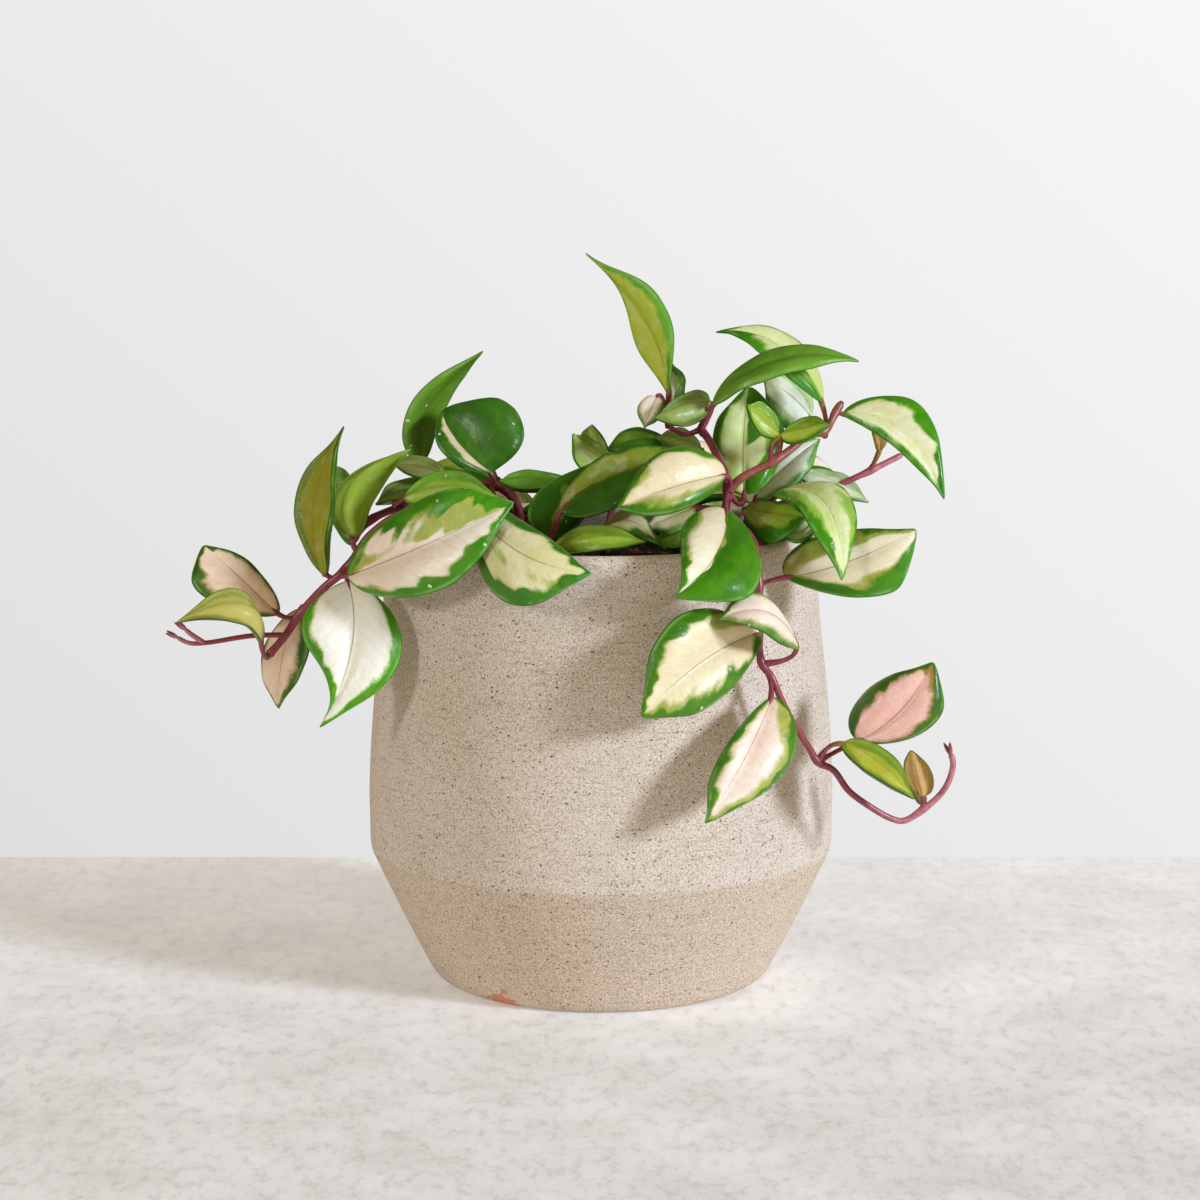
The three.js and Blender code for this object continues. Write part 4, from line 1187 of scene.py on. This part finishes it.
# %% Vines at the back
vine("vine_back_centre", stems=[
    (1.2, "maroon", "maroon", [(22, 24, 142), (23, 32, 149), (24, 42, 158), (28, 60, 164),
        (31, 77, 157), (33, 84, 146), (35, 88, 120), (41, 87, 93)]),
], leaves={
    "over_soil_left": ("butter", 3, 3, 0.5, USUAL, [
        (23,32,149), (20,30,152), (8,22,158), (-6,14,156), (10,32,160), (6,13,158)]),
    "over_soil_right": ("cream", 3.5, 2.5, 0.6, USUAL, [
        (23,32,149), (26,30,152), (38,24,158), (50,16,156), (36,14,158), (41,34,160)]),
    "behind_up_right": ("peach", 3, 3, 0.5, USUAL, [
        (24,42,158), (26,47,161), (36,56,167), (46,64,164), (31,63,171), (40,49,166)]),
    "behind_up_left": ("cream", 4, 2.5, 0.6, USUAL, [
        (24,42,158), (22,47,161), (10,58,166), (-2,70,160), (5,50,169), (18,64,167)]),
    "rim_back_right": ("white", 3, 3, 0.5, USUAL, [
        (31,77,157), (35,81,156), (52,92,148), (66,98,130), (42,96,142), (58,83,154)]),
    "rim_back_left": ("butter", 3.5, 6, 0.7, USUAL, [
        (31,77,157), (27,82,156), (12,93,150), (-6,98,132), (5,85,158), (22,96,142)]),
    "low_back_right": ("deep", 30, 30, 0, USUAL, [
        (35,88,120), (39,91,119), (52,97,108), (62,99,90), (43,103,105), (59,94,116)]),
    "low_back_left": ("cream", 2.5, 4, 0.6, USUAL, [
        (35,88,120), (31,92,119), (17,99,110), (5,103,92), (10,93,117), (27,101,104)]),
    "end_right": ("rose", 2.2, 2.2, 0.5, USUAL, [
        (41,87,93), (43,90,90), (47,94,74), (45,97,58), (39,99,76), (56,92,76)]),
    "end_left": ("pink", 2.0, 2.2, 0.5, USUAL, [
        (41,87,93), (38,90,91), (31,96,79), (25,98,64), (25,91,82), (40,97,77)]),
})

# %% [markdown]
# ## Back left vine
# The second one fills the back left, from over the soil to half the planter's height.

# %% Back left vine
vine("vine_back_left", stems=[
    (1.2, "maroon", "maroon", [(-22, 20, 142), (-26, 28, 149), (-31, 38, 157),
        (-40, 54, 161), (-48, 68, 154), (-54, 76, 138), (-57, 79, 122), (-56, 82, 104)]),
], leaves={
    "over_soil_left": ("butter", 3, 3, 0.5, USUAL, [
        (-26,28,149), (-30,27,152), (-43,20,158), (-56,13,156), (-40,10,158), (-45,30,160)]),
    "over_soil_front": ("lime", 3, 3, 0.6, USUAL, [
        (-26,28,149), (-24,24,151), (-16,13,155), (-8,2,152), (-8,18,155), (-24,8,155)]),
    "over_left": ("fresh", 3, 3, 0.5, USUAL, [
        (-31,38,157), (-36,41,160), (-52,48,163), (-68,54,156), (-55,37,163), (-47,57,167)]),
    "rim_left": ("peach", 3.5, 2.5, 0.6, USUAL, [
        (-48,68,154), (-52,71,152), (-63,80,144), (-69,84,126), (-70,71,146), (-53,86,142)]),
    "rim_right": ("butter", 30, 3, 0.4, USUAL, [
        (-48,68,154), (-44,74,152), (-34,87,143), (-24,93,126), (-45,92,141), (-25,83,150)]),
    "low_left": ("white", 2.6, 2.6, 0.5, USUAL, [
        (-57,79,122), (-60,81,120), (-68,88,109), (-70,92,91), (-74,79,110), (-58,93,109)]),
    "low_right": ("cream", 4.5, 2.4, 0.8, USUAL, [
        (-57,79,122), (-53,83,121), (-42,93,111), (-34,98,94), (-52,97,108), (-34,91,119)]),
    "low_end": ("blushed", 2.2, 2.2, 0.5, USUAL, [
        (-56,82,104), (-55,84,101), (-52,89,87), (-49,92,71), (-62,89,87), (-44,92,91)]),
})

# %% [markdown]
# ## Back right vine
# The third one is short, and fills the gap between the back and the right side.

# %% Back right vine
vine("vine_back_right", stems=[
    (1.2, "maroon", "maroon", [(40, 18, 142), (56, 36, 157), (65, 46, 159), (72, 53, 150),
        (74, 58, 136), (70, 63, 120)]),
], leaves={
    "rim_up": ("cream", 3, 4, 0.6, USUAL, [
        (56,36,157), (59,38,160), (72,43,164), (84,46,156), (68,51,169), (74,33,164)]),
    "inner": ("deep", 30, 30, 0, USUAL, [
        (56,36,157), (56,40,160), (58,54,167), (58,70,161), (50,54,164), (67,54,166)]),
    "side_right": ("butter", 3.2, 3.2, 0.6, USUAL, [
        (72,53,150), (75,53,147), (83,52,136), (84,50,119), (84,62,137), (85,43,139)]),
    "side_back": ("peach", 2.5, 4, 0.6, USUAL, [
        (72,53,150), (72,57,148), (69,69,139), (63,78,122), (59,70,145), (77,63,134)]),
    "side_end": ("pink", 2.0, 2.0, 0.5, USUAL, [
        (70,63,120), (69,66,117), (63,76,104), (56,83,87), (57,80,111), (72,73,101)]),
})

# %% [markdown]
# ## Floor
# A pale mottled floor keeps the eye on the plant. It is worn plaster, dull and faintly spotted.
# It ends at the back where it meets the backdrop. Its back gets the least light, so it glows
# faintly there to stay as pale as the front.

# %% Floor
FLOOR_BACK = 159.0
FLOOR_SIDE = 2600.0
FLOOR_FRONT = -1800.0
GLOW_START = -100.0
GLOW = (0.15, 0.38)
CLOUD_SIZE, SPOT_SIZE = 45.0, 5.0


def worn_plaster():
    """Two pale greys mixed by broad clouds, with darker spots, glowing more towards the back."""
    material, shader = finish_of("worn_plaster", {"Roughness": 0.8, "Specular IOR Level": 0.2,
                                 "Emission Color": "f2f5ff"})
    put, over = partial(add, material), partial(lay, material, curve="LINEAR")
    place = put("TexCoord", out="Object")
    y = put("SeparateXYZ", (place,), out="Y")
    glow = put("MapRange", (y, GLOW_START * MM, FLOOR_BACK * MM, *GLOW))
    cloud = put("TexNoise", {"Vector": place, "Scale": per_metre(CLOUD_SIZE), "Detail": 6.0,
                             "Roughness": 0.66})
    colour = over("e8e5e0", "fdfdfa", (cloud, 0.36, 0.64, 1))
    stretched = put("Mapping", {"Vector": place, "Scale": (1.0, 0.5, 1.0)})
    spot = put("TexNoise", {"Vector": stretched, "Scale": per_metre(SPOT_SIZE), "Detail": 5.0,
                            "Roughness": 0.8})
    colour = over(colour, "b4aea4", (spot, 0.48, 0.66, 0.5))
    fill(material, shader, {"Base Color": colour, "Emission Strength": glow})
    return material


corners = np.array([(-FLOOR_SIDE, FLOOR_FRONT, 0), (FLOOR_SIDE, FLOOR_FRONT, 0),
                    (FLOOR_SIDE, FLOOR_BACK, 0), (-FLOOR_SIDE, FLOOR_BACK, 0)]) * MM
floor_mesh = bpy.data.meshes.new("floor")
floor_mesh.from_pydata(corners.tolist(), [], [(0, 1, 2, 3)])
floor_mesh.materials.append(worn_plaster())
floor = bpy.data.objects.new("floor", floor_mesh)
bpy.context.scene.collection.objects.link(floor)
print("floor:", 2 * FLOOR_SIDE, "mm wide and", FLOOR_BACK - FLOOR_FRONT, "mm deep")

# %% [markdown]
# ## Backdrop
# The backdrop is the world itself, so it never stands in the way when the camera goes round. A
# warm pale world fills the shadows. The leaves mirror a darker room than that one, as in a
# studio whose lamps stand in the dark, and the camera sees a plain wall, so each kind of ray
# gets a world of its own.

# %% Backdrop
ROOM_LIGHT, MIRRORED = 0.32, 0.35
ROOM_COLOUR = (1.0, 0.80, 0.49, 1.0)
WALL_SLOPE = (1.41, 0.0, 1.72)
WALL_SHADES = ("dfdfdf", "f6f6f6")

world = bpy.data.worlds.new("pale_studio")
world.use_nodes = True
ray = add(world, "TexCoord", out="Generated")
height = add(world, "VectorMath", (ray, WALL_SLOPE), out="Value", operation="DOT_PRODUCT")
wall = lay(world, *WALL_SHADES, (height, -0.65, 0.28, 1), curve="LINEAR")
glossy, seen = (add(world, "LightPath", out=kind) for kind in ("Is Glossy Ray", "Is Camera Ray"))
strength = add(world, "MapRange", (glossy, 0, 1, ROOM_LIGHT, MIRRORED * ROOM_LIGHT))
room = add(world, "Background", {"Color": ROOM_COLOUR, "Strength": strength})
backdrop = add(world, "Background", {"Color": wall})
choice = add(world, "MixShader", (seen, room, backdrop))
fill(world, world.node_tree.nodes["World Output"], {"Surface": choice})
bpy.context.scene.world = world
print("world:", world.name, "with", len(world.node_tree.nodes), "nodes")

# %% [markdown]
# ## Lamps
# Two large soft lamps stand metres away, as windows do: a strong one at the front right, which
# throws the leaves' shadows on the planter, and a weak one at the front left. Each row is a
# lamp's place, its size in metres, its power and its colour.

# %% Lamps
LIT_PLACE = (0.0, 0.0, 110.0)
LAMPS = {
    "right_window": ((5250.0, -3375.0, 2210.0), 1.35, 345.0, (0.90, 1.02, 1.24)),
    "left_window": ((-4900.0, -4250.0, 2360.0), 1.35, 116.0, (0.95, 0.97, 1.0)),
}
for lamp_name, (place, size, power, colour) in LAMPS.items():
    lamp_data = bpy.data.lights.new(lamp_name, "AREA")
    lamp_data.shape = "DISK"
    lamp_data.size = size
    lamp_data.energy = power
    lamp_data.color = colour
    lamp = bpy.data.objects.new(lamp_name, lamp_data)
    lamp.location = np.array(place) * MM
    aim = (np.array(LIT_PLACE) - place) * MM
    lamp.visible_camera = False
    lamp.rotation_mode = "QUATERNION"
    lamp.rotation_quaternion = Vector(aim).to_track_quat("-Z", "Y")
    bpy.context.scene.collection.objects.link(lamp)
bpy.context.scene.view_settings.view_transform = "Standard"
print("lamps:", list(LAMPS))
